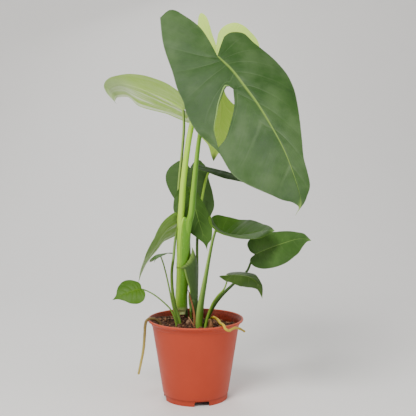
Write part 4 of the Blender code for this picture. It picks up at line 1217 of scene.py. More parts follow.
@dataclass
class Pot:
    """The nursery pot: a thin tapered shell with a turned-over lip and a notched foot.

    Attributes:
        finish: Its plastic.
        steps: Faces round it.
        lip_round: The radius of the lip's rounded edge.
        notch_width: How wide each of the foot's notches is.
        notch_height: How high each is.
        notch_corner: The radius of a notch's upper corners.
        notch_turn: Where the first notch is.
        drains: How many drain holes the base has.
        drain_radius: Their radius.
        drain_circle: The radius of the circle that they lie on.
    """

    finish: PlasticFinish
    steps: int = 144
    lip_round: float = 0.0013
    notch_width: float = 0.026
    notch_height: float = 0.0085
    notch_corner: float = 0.003
    notch_turn: float = math.radians(12)
    drains: int = 8
    drain_radius: float = 0.0045
    drain_circle: float = 0.038

    def wall(self, height: float) -> float:
        """The outer face of the tapered wall at this height."""
        share = (height - BASE_HEIGHT) / (COLLAR_FOOT - BASE_HEIGHT)
        return POT_FOOT + share * (POT_TOP - POT_FOOT)

    def profile(self) -> list:
        """The shell's profile as (radius, height), from the inside's middle to the underside's."""
        base = BASE_HEIGHT + WALL
        heights = np.linspace(base, COLLAR_FOOT - 0.0004, 9)
        inner = [(self.wall(height) - WALL, height) for height in heights]
        flare = path_at([(POT_TOP - WALL, COLLAR_FOOT), (COLLAR_RADIUS - WALL, COLLAR_TOP),
                         (LIP_INNER - 0.0007, POT_HEIGHT - 0.0019), (LIP_INNER, POT_HEIGHT - 0.0004)],
                        np.linspace(0.1, 1.0, 8))
        round_, turns = self.lip_round, np.linspace(0.0, math.pi / 2, 6)
        lip = [(RIM_RADIUS - round_ + round_ * math.sin(turn),
                POT_HEIGHT - round_ + round_ * math.cos(turn)) for turn in turns]
        under = path_at([(RIM_RADIUS, POT_HEIGHT - 0.0022),
                         (RIM_RADIUS - 0.0004, POT_HEIGHT - LIP_DEPTH + 0.0006),
                         (RIM_RADIUS - 0.0015, POT_HEIGHT - LIP_DEPTH - 0.0002),
                         (COLLAR_RADIUS + 0.0016, COLLAR_TOP + 0.0010),
                         (COLLAR_RADIUS, COLLAR_TOP - 0.0008),
                         (POT_TOP + COLLAR_STEP, COLLAR_FOOT + 0.0004),
                         (POT_TOP + 0.0001, COLLAR_FOOT - 0.0006)], np.linspace(0.0, 1.0, 16))
        outer = [(self.wall(height), height) for height in reversed(heights)]
        foot = [(FOOT_RADIUS + 0.0006, BASE_HEIGHT - 0.0006), (FOOT_RADIUS, 0.0006),
                (FOOT_RADIUS - 0.0004, 0.0), (FOOT_RADIUS - FOOT_WALL + 0.0004, 0.0),
                (FOOT_RADIUS - FOOT_WALL, 0.0006), (FOOT_RADIUS - FOOT_WALL, BASE_HEIGHT),
                (0.03, BASE_HEIGHT), (0.012, BASE_HEIGHT)]
        centre = [(0.012, base), (0.03, base), (POT_FOOT - WALL - 0.001, base)]
        rim = [(LIP_INNER + 0.0004, POT_HEIGHT)]
        return centre + inner + [tuple(spot) for spot in flare] + rim + lip \
            + [tuple(spot) for spot in under] + outer + foot

    def shell(self) -> bpy.types.Object:
        """Extrudes a disc's edge from ring to ring along the profile, and closes the last."""
        profile = self.profile()
        deselect()
        bpy.ops.mesh.primitive_circle_add(vertices=self.steps, radius=profile[0][0],
                                          fill_type="NGON", location=(0, 0, profile[0][1]))
        pot = bpy.context.object
        bpy.ops.object.transform_apply(location=True)
        pot.name = pot.data.name = "nursery_pot"
        bpy.ops.object.mode_set(mode="EDIT")
        bpy.ops.mesh.select_mode(type="EDGE")
        bpy.ops.mesh.select_all(action="SELECT")
        bpy.ops.mesh.region_to_loop()
        for radius, height in profile[1:]:
            bpy.ops.mesh.extrude_edges_move()
            form = bmesh.from_edit_mesh(pot.data)
            for vert in form.verts:
                if vert.select:
                    away = radius / math.hypot(vert.co.x, vert.co.y)
                    vert.co = (vert.co.x * away, vert.co.y * away, height)
            bmesh.update_edit_mesh(pot.data)
        bpy.ops.mesh.edge_face_add()
        bpy.ops.mesh.select_all(action="SELECT")
        bpy.ops.mesh.normals_make_consistent(inside=False)
        bpy.ops.mesh.select_mode(type="VERT")
        bpy.ops.object.mode_set(mode="OBJECT")
        return pot

    def notch(self, quarter: int) -> bpy.types.Object:
        """A round-cornered bar that cuts two notches on opposite sides of the foot."""
        deselect()
        bpy.ops.mesh.primitive_cube_add(size=1.0)
        bar = bpy.context.object
        bar.name = f"notch_bar_{quarter}"
        bar.scale = (self.notch_width, 3 * RIM_RADIUS, 2 * self.notch_height)
        bpy.ops.object.transform_apply(scale=True)
        bar.rotation_euler.z = self.notch_turn + quarter * math.pi / 2
        bpy.ops.object.transform_apply(rotation=True)
        form = bmesh.new()
        form.from_mesh(bar.data)
        long_edges = [edge for edge in form.edges
                      if edge.calc_length() > RIM_RADIUS and edge.verts[0].co.z > 0]
        bmesh.ops.bevel(form, geom=long_edges, offset=self.notch_corner, segments=6, profile=0.5,
                        affect="EDGES")
        form.to_mesh(bar.data)
        form.free()
        return bar

    def drain(self, number: int) -> bpy.types.Object:
        """A pin that cuts one drain hole."""
        turn = self.notch_turn + (number + 0.5) * math.tau / self.drains
        deselect()
        bpy.ops.mesh.primitive_cylinder_add(
            vertices=24, radius=self.drain_radius, depth=4 * WALL,
            location=(self.drain_circle * math.cos(turn), self.drain_circle * math.sin(turn),
                      BASE_HEIGHT + WALL / 2))
        bpy.ops.object.transform_apply(location=True)
        return bpy.context.object

    def build(self) -> None:
        """Builds, cuts and dresses the pot."""
        pot = self.shell()
        tools = [self.notch(quarter) for quarter in range(2)]
        tools += [self.drain(number) for number in range(self.drains)]
        for tool in tools:
            cut = pot.modifiers.new(tool.name, "BOOLEAN")
            cut.object, cut.operation = tool, "DIFFERENCE"
        apply_all(pot)
        for tool in tools:
            bpy.data.objects.remove(tool, do_unlink=True)
        smooth(pot, 40)
        settle(pot, self.finish.material(), "pot", "pot")


@dataclass
class Peat:
    """The peat in the pot: a crumbly bed, loose crumbs and chips of bark.

    Attributes:
        bed_finish: The bed's look.
        crumb_finish: The crumbs' look.
        bark_finish: The bark's look.
        crumbs: How many loose crumbs there are.
        chips: How many bark chips there are.
        seed: What the crumbs' places are drawn from.
    """

    bed_finish: PeatFinish
    crumb_finish: PeatFinish
    bark_finish: PeatFinish
    crumbs: int = 1500
    chips: int = 150
    seed: int = 5
    around: int = 220
    across: int = 76

    def wall(self, height: float) -> float:
        """The inner face of the pot's wall at this height."""
        share = (height - BASE_HEIGHT) / (COLLAR_FOOT - BASE_HEIGHT)
        return POT_FOOT + share * (POT_TOP - POT_FOOT) - WALL - GAP

    def surface(self, x: float, y: float) -> float:
        """The bed's height, with its clods, at this place."""
        spot = Vector((x, y, 0.0))
        clods = noise.fractal(spot * 130, 1.0, 2.0, 2)
        crumbs = noise.fractal(spot * 420 + Vector((3.0, 7.0, 1.0)), 0.9, 2.0, 3)
        return soil_height(x, y) + CLOD * clods + CRUMB * crumbs

    def bed(self) -> bpy.types.Object:
        """Builds the bed, a closed form down to the pot's base."""
        floor = BASE_HEIGHT + WALL + GAP
        reach = self.wall(SOIL_LEVEL)

        def place(column: np.ndarray, row: np.ndarray) -> np.ndarray:
            """The clods on top, then the wall, then the base."""
            turn = column / self.around * math.tau
            share = np.minimum(row / (self.across - 2), 1.0)
            places = []
            for angle, part, level in zip(turn, share, row):
                x, y = reach * part * math.cos(angle), reach * part * math.sin(angle)
                height = self.surface(x, y) if level <= self.across - 2 else floor
                wide = self.wall(height) / reach if level <= self.across - 1 else 0.0
                places.append((x * wide, y * wide, height))
            return np.array(places)

        bed = formed_grid("peat_bed", self.around, self.across, place)
        weld(bed)
        tone = np.array([0.45 + 0.25 * noise.noise(vert.co * 300) for vert in bed.data.vertices])
        mark_points(bed, TONE, tone)
        smooth(bed, 50)
        return bed

    def scatter(self, name: str, count: int, seed: int, sizes: Pair, shape: Point,
                sink: float, clear: float) -> bpy.types.Object:
        """Lays copies of one lump over the bed.

        Args:
            name: The piece's name.
            count: How many copies.
            seed: What their places are drawn from.
            sizes: The least and greatest half width.
            shape: How long, wide and high a lump is, as shares of its half width.
            sink: How deep each is pressed in, as a share of its half width.
            clear: How far inside the wall they stay.

        Returns:
            The joined piece.
        """
        draw = np.random.default_rng(seed)
        deselect()
        bpy.ops.mesh.primitive_ico_sphere_add(subdivisions=2, radius=1.0)
        lump = bpy.context.object
        ball = np.array([vert.co for vert in lump.data.vertices])
        faces = np.array([list(face.vertices) for face in lump.data.polygons])
        bpy.data.objects.remove(lump, do_unlink=True)
        places, sides, tones = [], [], []
        for number in range(count):
            turn, spread = draw.uniform(0, math.tau), math.sqrt(draw.uniform(0, 1))
            reach = (self.wall(SOIL_LEVEL) - clear) * spread
            x, y = reach * math.cos(turn), reach * math.sin(turn)
            size = sizes[0] + (sizes[1] - sizes[0]) * draw.uniform(0, 1) ** 2.5
            stretch = np.array(shape) * draw.uniform(0.7, 1.3, 3)
            dents = 1 + 0.35 * roughen(ball + draw.uniform(0, 90, 3), 1.1, 2)
            turned = ball * dents[:, None] * stretch * size
            spin, tip = draw.uniform(0, math.tau), draw.normal(0, 0.35, 2)
            cos, sin = math.cos(spin), math.sin(spin)
            turned = turned @ np.array([[cos, sin, 0], [-sin, cos, 0], [0, 0, 1]])
            turned[:, 2] += turned[:, 0] * tip[0] + turned[:, 1] * tip[1]
            height = self.surface(x, y) - sink * size + shape[2] * size * 0.5
            places.append(turned + (x, y, height))
            sides.append(faces + number * len(ball))
            tones.append(np.full(len(ball), draw.uniform(0, 1)))
        data = bpy.data.meshes.new(name)
        data.from_pydata(np.concatenate(places).tolist(), [], np.concatenate(sides).tolist())
        thing = bpy.data.objects.new(name, data)
        bpy.context.scene.collection.objects.link(thing)
        mark_points(thing, TONE, np.concatenate(tones))
        smooth(thing, 50)
        return thing

    def build(self) -> None:
        """Builds and dresses the bed, the crumbs and the bark."""
        settle(self.bed(), self.bed_finish.material(), "soil", "soil")
        crumbs = self.scatter("peat_crumbs", self.crumbs, self.seed, (0.0006, 0.0024),
                              (1.0, 0.85, 0.75), 0.3, 0.003)
        settle(crumbs, self.crumb_finish.material(), "soil")
        bark = self.scatter("bark_chips", self.chips, self.seed + 1, (0.0016, 0.0048),
                            (1.4, 0.7, 0.28), 0.0, 0.006)
        settle(bark, self.bark_finish.material(), "soil")


@dataclass
class MainStem:
    """The thick stem, with its ring, which forks into the two tallest stalks.

    Attributes:
        finish: Its look.
        sections: Height, centre and the two half widths, from the foot to the fork.
        sides: Faces round it.
        rings: Faces along it.
        groove: How deep the groove below the fork is, as a share of the half width.
        groove_from: The height where the groove begins.
    """

    finish: StemFinish
    sections: list
    sides: int = 48
    rings: int = 120
    groove: float = 0.34
    groove_from: float = 0.252

    def build(self) -> None:
        """Lofts, welds and dresses the stem."""
        rows = path_at(self.sections, np.linspace(0.0, 1.0, self.rings - 1))
        rows = np.vstack([rows[0] * (1, 1, 1, 0, 0), rows, rows[-1] * (1, 1, 1, 0, 0)])

        def place(column: np.ndarray, row: np.ndarray) -> np.ndarray:
            """Places the rings, pinched by the groove at the front and the back."""
            height, x, y, wide, deep = rows[row].T
            turn = column / self.sides * math.tau
            pinch = self.groove * smoothstep(self.groove_from, 0.309, height)
            front = np.exp(-((turn - FRONT_TURN + 0.1) / 0.28) ** 2)
            back = np.exp(-((turn - BACK_TURN) / 0.28) ** 2)
            scale = 1 - pinch * np.maximum(front, back)
            plain = np.stack([x + wide * np.cos(turn), y + deep * scale * np.sin(turn), height], axis=1)
            swell = 1 + 0.02 * roughen(plain * (1.0, 1.0, 0.25), 160)
            return np.stack([x + wide * swell * np.cos(turn), y + deep * scale * swell * np.sin(turn),
                             height], axis=1)

        stem = formed_grid("main_stem_body", self.sides, self.rings, place)
        weld(stem)
        smooth(stem, 60)
        settle(stem, self.finish.material(), "stalk_pale", "main_stem")


@dataclass
class Sheath:
    """The scoop that wraps the stem's right side and rises to a point.

    Attributes:
        finish: Its look.
        rows: Height, centre, half widths and how far round it reaches, from its foot up.
        tip: How high its point is.
        lean: How far its point leans along X.
        thickness: How thick it is.
        columns: Faces round it.
        detail: Faces along it.
    """

    finish: HuskFinish
    rows: list
    tip: float = 0.262
    lean: float = -0.0095
    thickness: float = 0.0009
    columns: int = 40
    detail: int = 90

    def build(self) -> None:
        """Builds the scoop, thickens it and rolls its rims."""
        body = round(self.detail * 0.78)
        rows = path_at(self.rows, np.linspace(0.0, 1.0, body + 1))

        def place(column: np.ndarray, row: np.ndarray) -> np.ndarray:
            """Wraps each row, and draws the last ones up to the point."""
            height, x, y, wide, deep, reach = rows[np.minimum(row, body)].T
            across = 2 * column / self.columns - 1
            climb = np.maximum(row - body, 0) / (self.detail - body)
            height = height + (self.tip - self.rows[-1][0]) * climb * (1 - np.abs(across)) ** 1.5
            height = height + 0.002 * climb
            x = x + self.lean * climb ** 2
            rim = 1 + 0.06 * smoothstep(0.8, 1.0, np.abs(across)) * smoothstep(0.15, 0.21, height)
            turn = np.radians(reach) * across
            plain = np.stack([x + wide * rim * np.cos(turn), y + deep * rim * np.sin(turn), height],
                             axis=1)
            swell = roughen(plain * (1.0, 1.0, 0.3), 130) * 0.00025
            return plain + swell[:, None] * np.stack([np.cos(turn), np.sin(turn), 0 * turn], axis=1)

        sheath = formed_grid("stem_sheath", self.columns, self.detail, place)
        shell = sheath.modifiers.new("thickness", "SOLIDIFY")
        shell.thickness = self.thickness
        shell.offset = -1.0
        apply_all(sheath)
        smooth(sheath, 60)
        settle(sheath, self.finish.material(), "sheath", "sheath")


@dataclass
class DriedStrip:
    """A curled dry strip of old sheath.

    Attributes:
        finish: Its look.
        route: Points along it.
        width: How wide it is at its foot.
        thickness: How thick it is.
        columns: Faces across it.
        detail: Faces along it.
    """

    finish: HuskFinish
    route: list
    width: float = 0.0034
    thickness: float = 0.0007
    columns: int = 10
    detail: int = 64

    def build(self) -> None:
        """Builds the strip, bowed across and frayed towards its tip."""
        spine = path_at(self.route, np.linspace(0.0, 1.0, self.detail + 1))

        def place(column: np.ndarray, row: np.ndarray) -> np.ndarray:
            """Bows each row and narrows it towards the tip."""
            share = row / self.detail
            out = (2 * column / self.columns - 1) * self.width / 2 * (1 - 0.75 * share ** 3)
            plain = spine[row] + np.stack([out, 0.4 * np.abs(out), 0 * out], axis=1)
            return plain + roughen(plain, 420)[:, None] * (0.0002, 0.0003, 0.0)

        strip = formed_grid("dried_sheath_strip", self.columns, self.detail, place)
        shell = strip.modifiers.new("thickness", "SOLIDIFY")
        shell.thickness = self.thickness
        shell.offset = 0.0
        apply_all(strip)
        smooth(strip, 60)
        settle(strip, self.finish.material(), "dried", "dried_strip")


def wild_growth() -> None:
    """Builds the aerial roots, the short dead root and the dry stump."""
    yellow, brown, dry = YELLOW_ROOT.material(), BROWN_ROOT.material(), DRY_HUSK.material()
    left = Tube("aerial_root_over_left", LEFT_ROOT, (0.0026, 0.0026, 0.0024, 0.0020),
                rings=120, knobs=0.10, knob_scale=140, dome=0.8)
    right = Tube("aerial_root_over_right", RIGHT_ROOT, (0.0022, 0.0023, 0.0023, 0.0018),
                 rings=180, knobs=0.22, knob_scale=190, dome=0.8)
    short = Tube("dead_root", SHORT_ROOT, (0.0013, 0.0012, 0.0009), rings=40, knobs=0.2,
                 knob_scale=260, dome=0.9)
    stump = Tube("dry_stalk_stump", STUMP, (0.0054, 0.0052, 0.0046, 0.0024), sides=48, rings=36,
                 knobs=0.08, knob_scale=200, dome=0.5, ribs=11, rib_depth=0.16)
    settle(left.build(), brown, "root", "aerial_root_left")
    settle(right.build(), yellow, "root", "aerial_root_right")
    settle(short.build(), dry, "dried", "short_root")
    settle(stump.build(), dry, "dried", "dry_stump")


BIG_LEAF = LeafFinish("big_leaf_skin", srgb(44, 74, 30), srgb(58, 88, 40), srgb(112, 134, 92),
                      srgb(124, 154, 62), srgb(112, 146, 72), srgb(160, 188, 104), veins=9,
                      streak=0.9, sheen_patches=0.26, gloss=0.44,
                      shine=0.14, veining=0.2, tip=srgb(150, 186, 70))
PALE_LEAF = LeafFinish("pale_leaf_skin", srgb(176, 220, 72), srgb(206, 236, 106),
                       srgb(224, 242, 132), srgb(230, 246, 138), srgb(192, 230, 94),
                       srgb(220, 240, 128), veins=10, streak=0.6, sheen_patches=0.25, gloss=0.42,
                       tip=srgb(52, 78, 26))
LIFTED_LEAF = LeafFinish("lifted_leaf_skin", srgb(56, 88, 34), srgb(80, 114, 50),
                         srgb(130, 158, 92), srgb(148, 178, 86), srgb(152, 190, 74),
                         srgb(190, 218, 116), veins=8, streak=0.6, sheen_patches=0.2, gloss=0.34,
                         veining=0.12, bands=0.8, tip=srgb(60, 98, 26))
ROUND_LEAF = LeafFinish("round_leaf_skin", srgb(20, 38, 12), srgb(28, 48, 19), srgb(43, 65, 32),
                        srgb(51, 75, 30), srgb(64, 92, 44), srgb(84, 110, 62), veins=9,
                        streak=0.6, sheen_patches=0.2, gloss=0.44)
MIDDLE_LEAF = LeafFinish("middle_leaf_skin", srgb(46, 77, 20), srgb(65, 99, 33),
                         srgb(104, 141, 57), srgb(118, 155, 61), srgb(104, 136, 58),
                         srgb(138, 168, 82), veins=8, streak=0.5, sheen_patches=0.15)
HANGING_LEAF = LeafFinish("hanging_leaf_skin", srgb(84, 128, 36), srgb(110, 152, 50),
                          srgb(148, 180, 86), srgb(160, 192, 92), srgb(120, 160, 62),
                          srgb(164, 196, 104), veins=8, streak=0.5, sheen_patches=0.2, gloss=0.36,
                          veining=0.15, bands=0.6)
DARK_LEAF = LeafFinish("dark_leaf_skin", srgb(44, 72, 28), srgb(62, 94, 40), srgb(92, 122, 64),
                       srgb(108, 138, 64), srgb(96, 124, 66), srgb(124, 150, 86), veins=8)
FOLDED_LEAF = LeafFinish("folded_leaf_skin", srgb(34, 62, 8), srgb(46, 80, 14),
                         srgb(88, 118, 48), srgb(84, 122, 32), srgb(84, 126, 26),
                         srgb(112, 150, 46), veins=10, streak=0.8, sheen_patches=0.2, gloss=0.42,
                         shine=0.12)
HEART_LEAF = LeafFinish("heart_leaf_skin", srgb(55, 93, 6), srgb(69, 108, 11),
                        srgb(93, 132, 23), srgb(101, 141, 26), srgb(132, 166, 70),
                        srgb(162, 192, 96), veins=7, streak=0.5, sheen_patches=0.15)
BANDED_LEAF = LeafFinish("banded_leaf_skin", srgb(36, 58, 24), srgb(50, 76, 32),
                         srgb(72, 100, 50), srgb(108, 142, 58), srgb(112, 146, 62),
                         srgb(142, 172, 84), veins=8, streak=0.5, sheen_patches=0.1, gloss=0.6,
                         shine=0.05, veining=0.15)
SMALL_LEAF = LeafFinish("small_leaf_skin", srgb(56, 87, 35), srgb(76, 110, 49),
                        srgb(107, 137, 74), srgb(125, 156, 79), srgb(98, 132, 56),
                        srgb(128, 160, 80), veins=7, streak=0.5, sheen_patches=0.2, veining=0.16)
DROOPING_LEAF = LeafFinish("drooping_leaf_skin", srgb(39, 63, 13), srgb(53, 79, 19),
                           srgb(96, 116, 60), srgb(105, 130, 50), srgb(112, 144, 66),
                           srgb(142, 170, 88), veins=7, streak=0.6, sheen_patches=0.25)

# Each stalk's first colour is its painted lit left side, and its second is its painted shaded right side.
BIG_STALK = StalkFinish("big_stalk_skin", srgb(150, 198, 58), srgb(84, 132, 34),
                        srgb(112, 166, 44), srgb(100, 150, 40))
PALE_STALK = StalkFinish("pale_stalk_skin", srgb(196, 234, 70), srgb(146, 196, 46),
                         srgb(182, 226, 62), srgb(160, 208, 54), turn=0.2)
STRONG_SHADE_STALK = StalkFinish("strong_shade_stalk_skin", srgb(160, 192, 88), srgb(50, 80, 28),
                             srgb(140, 170, 68), srgb(84, 112, 46), turn=0.1)
GREEN_STALK = StalkFinish("green_stalk_skin", srgb(128, 162, 62), srgb(84, 118, 36),
                          srgb(128, 162, 60), srgb(70, 102, 32))
LIGHT_STALK = StalkFinish("light_stalk_skin", srgb(140, 178, 66), srgb(98, 138, 42),
                          srgb(140, 170, 68), srgb(86, 120, 40))
DARK_STALK = StalkFinish("dark_stalk_skin", srgb(66, 98, 36), srgb(42, 66, 20),
                         srgb(72, 104, 38), srgb(36, 56, 18))
RISING_STALK = StalkFinish("rising_stalk_skin", srgb(168, 208, 70), srgb(132, 176, 52),
                           srgb(54, 82, 28), srgb(90, 126, 38), rise=0.56)
BROAD_STALK = StalkFinish("broad_stalk_skin", srgb(150, 184, 84), srgb(74, 110, 32),
                          srgb(120, 156, 56), srgb(66, 96, 34), turn=-0.2)

# The stem's first colour is its painted lit left side.
STEM_SKIN = StemFinish("main_stem_skin", srgb(184, 228, 66), srgb(100, 154, 36),
                       srgb(84, 134, 30), srgb(206, 216, 150), srgb(84, 100, 42))
SHEATH_SKIN = HuskFinish("sheath_skin", srgb(54, 82, 28), srgb(38, 60, 18), srgb(120, 152, 64),
                         gloss=0.42, fibre=7, tip_from=0.9, rim=0.9)
STRIP_SKIN = HuskFinish("dried_strip_skin", srgb(150, 92, 54), srgb(96, 56, 32),
                        srgb(110, 66, 38), gloss=0.6, fibre=5)
YELLOW_ROOT = HuskFinish("yellow_root_skin", srgb(214, 184, 50), srgb(146, 112, 40),
                         srgb(164, 140, 52), gloss=0.5, fibre=4)
BROWN_ROOT = HuskFinish("brown_root_skin", srgb(92, 68, 40), srgb(140, 118, 56),
                        srgb(188, 172, 84), gloss=0.5, fibre=4, tip_from=0.12)
DRY_HUSK = HuskFinish("dry_husk_skin", srgb(152, 100, 62), srgb(96, 58, 34), srgb(186, 144, 100),
                      gloss=0.65, fibre=10, tip_from=0.55)
# Its second colour is also the painted highlight along the lip, and its last is the painted shade on the inner wall.
TERRACOTTA = PlasticFinish("terracotta_plastic", srgb(180, 65, 39), srgb(205, 98, 71),
                           srgb(169, 59, 34), srgb(84, 62, 48), srgb(58, 16, 10))
PEAT_BED = PeatFinish("peat", srgb(36, 22, 15), srgb(80, 49, 34), srgb(134, 94, 66))
PEAT_CRUMB = PeatFinish("peat_crumb", srgb(44, 27, 18), srgb(98, 60, 42), srgb(152, 108, 76))
BARK = PeatFinish("bark_chip", srgb(62, 38, 26), srgb(112, 74, 52), srgb(150, 118, 92), share=0.6)

FORK = (-0.0205, 0.0285)
STEM_SECTIONS = [
    (0.1415, -0.0245, 0.034, 0.0050, 0.0050),
    (0.1470, -0.0245, 0.034, 0.0056, 0.0056),
    (0.1500, -0.0260, 0.034, 0.0086, 0.0084),
    (0.1560, -0.0268, 0.034, 0.0104, 0.0102),
    (0.1670, -0.0270, 0.034, 0.0110, 0.0108),
    (0.1900, -0.0257, 0.033, 0.0112, 0.0110),
    (0.2240, -0.0242, 0.032, 0.0115, 0.0112),
    (0.2275, -0.0240, 0.032, 0.0121, 0.0118),
    (0.2310, -0.0240, 0.032, 0.0116, 0.0113),
    (0.2550, -0.0230, 0.031, 0.0117, 0.0111),
    (0.2780, -0.0220, 0.030, 0.0121, 0.0100),
    (0.2970, -0.0210, 0.029, 0.0118, 0.0074),
    (0.3110, -0.0202, 0.028, 0.0080, 0.0048),
    (0.3180, -0.0200, 0.028, 0.0038, 0.0026),
    (0.3200, -0.0200, 0.028, 0.0012, 0.0010),
]
SHEATH_ROWS = [
    (0.1150, -0.0010, 0.010, 0.0035, 0.0035, 150),
    (0.1300, -0.0010, 0.010, 0.0035, 0.0035, 150),
    (0.1500, -0.0040, 0.014, 0.0080, 0.0065, 145),
    (0.1750, -0.0062, 0.021, 0.0100, 0.0092, 135),
    (0.1900, -0.0082, 0.026, 0.0117, 0.0120, 105),
    (0.2080, -0.0115, 0.031, 0.0145, 0.0160, 110),
    (0.2260, -0.0130, 0.033, 0.0160, 0.0172, 120),
]
STRIP_ROUTE = [(-0.002, -0.003, 0.118), (-0.002, -0.002, 0.140), (-0.0045, 0.003, 0.158),
               (-0.009, 0.005, 0.175), (-0.0135, 0.006, 0.191)]
LEFT_ROOT = [
    (-0.062, -0.020, 0.118), (-0.0622, -0.0202, 0.137), (-0.0665, -0.022, 0.1415),
    (-0.0715, -0.025, 0.1450), (-0.0775, -0.0285, 0.1464), (-0.0820, -0.0312, 0.1458),
    (-0.0852, -0.0325, 0.1420), (-0.0868, -0.033, 0.1340), (-0.0880, -0.033, 0.1180),
    (-0.0900, -0.033, 0.0937), (-0.0942, -0.034, 0.0714), (-0.0986, -0.035, 0.0509),
]
RIGHT_ROOT = [
    (0.0245, 0.0045, 0.114), (0.0245, 0.0045, 0.132), (0.0257, 0.003, 0.1390),
    (0.0324, -0.005, 0.1437), (0.0392, -0.015, 0.1416), (0.0427, -0.035, 0.1405),
    (0.0447, -0.055, 0.1425), (0.0465, -0.068, 0.1454), (0.0485, -0.0735, 0.1442),
    (0.0516, -0.0760, 0.1390), (0.0574, -0.0740, 0.1362), (0.0620, -0.0700, 0.1376),
    (0.0674, -0.0640, 0.1384), (0.0752, -0.0560, 0.1355), (0.0808, -0.0500, 0.1313),
    (0.0847, -0.0460, 0.1280),
]
SHORT_ROOT = [(-0.002, -0.022, 0.116), (-0.002, -0.022, 0.130), (-0.007, -0.020, 0.139),
              (-0.0122, -0.018, 0.1470)]
STUMP = [(0.0262, -0.0150, 0.116), (0.0262, -0.0150, 0.128), (0.0258, -0.0146, 0.1350),
         (0.0252, -0.0138, 0.1420)]

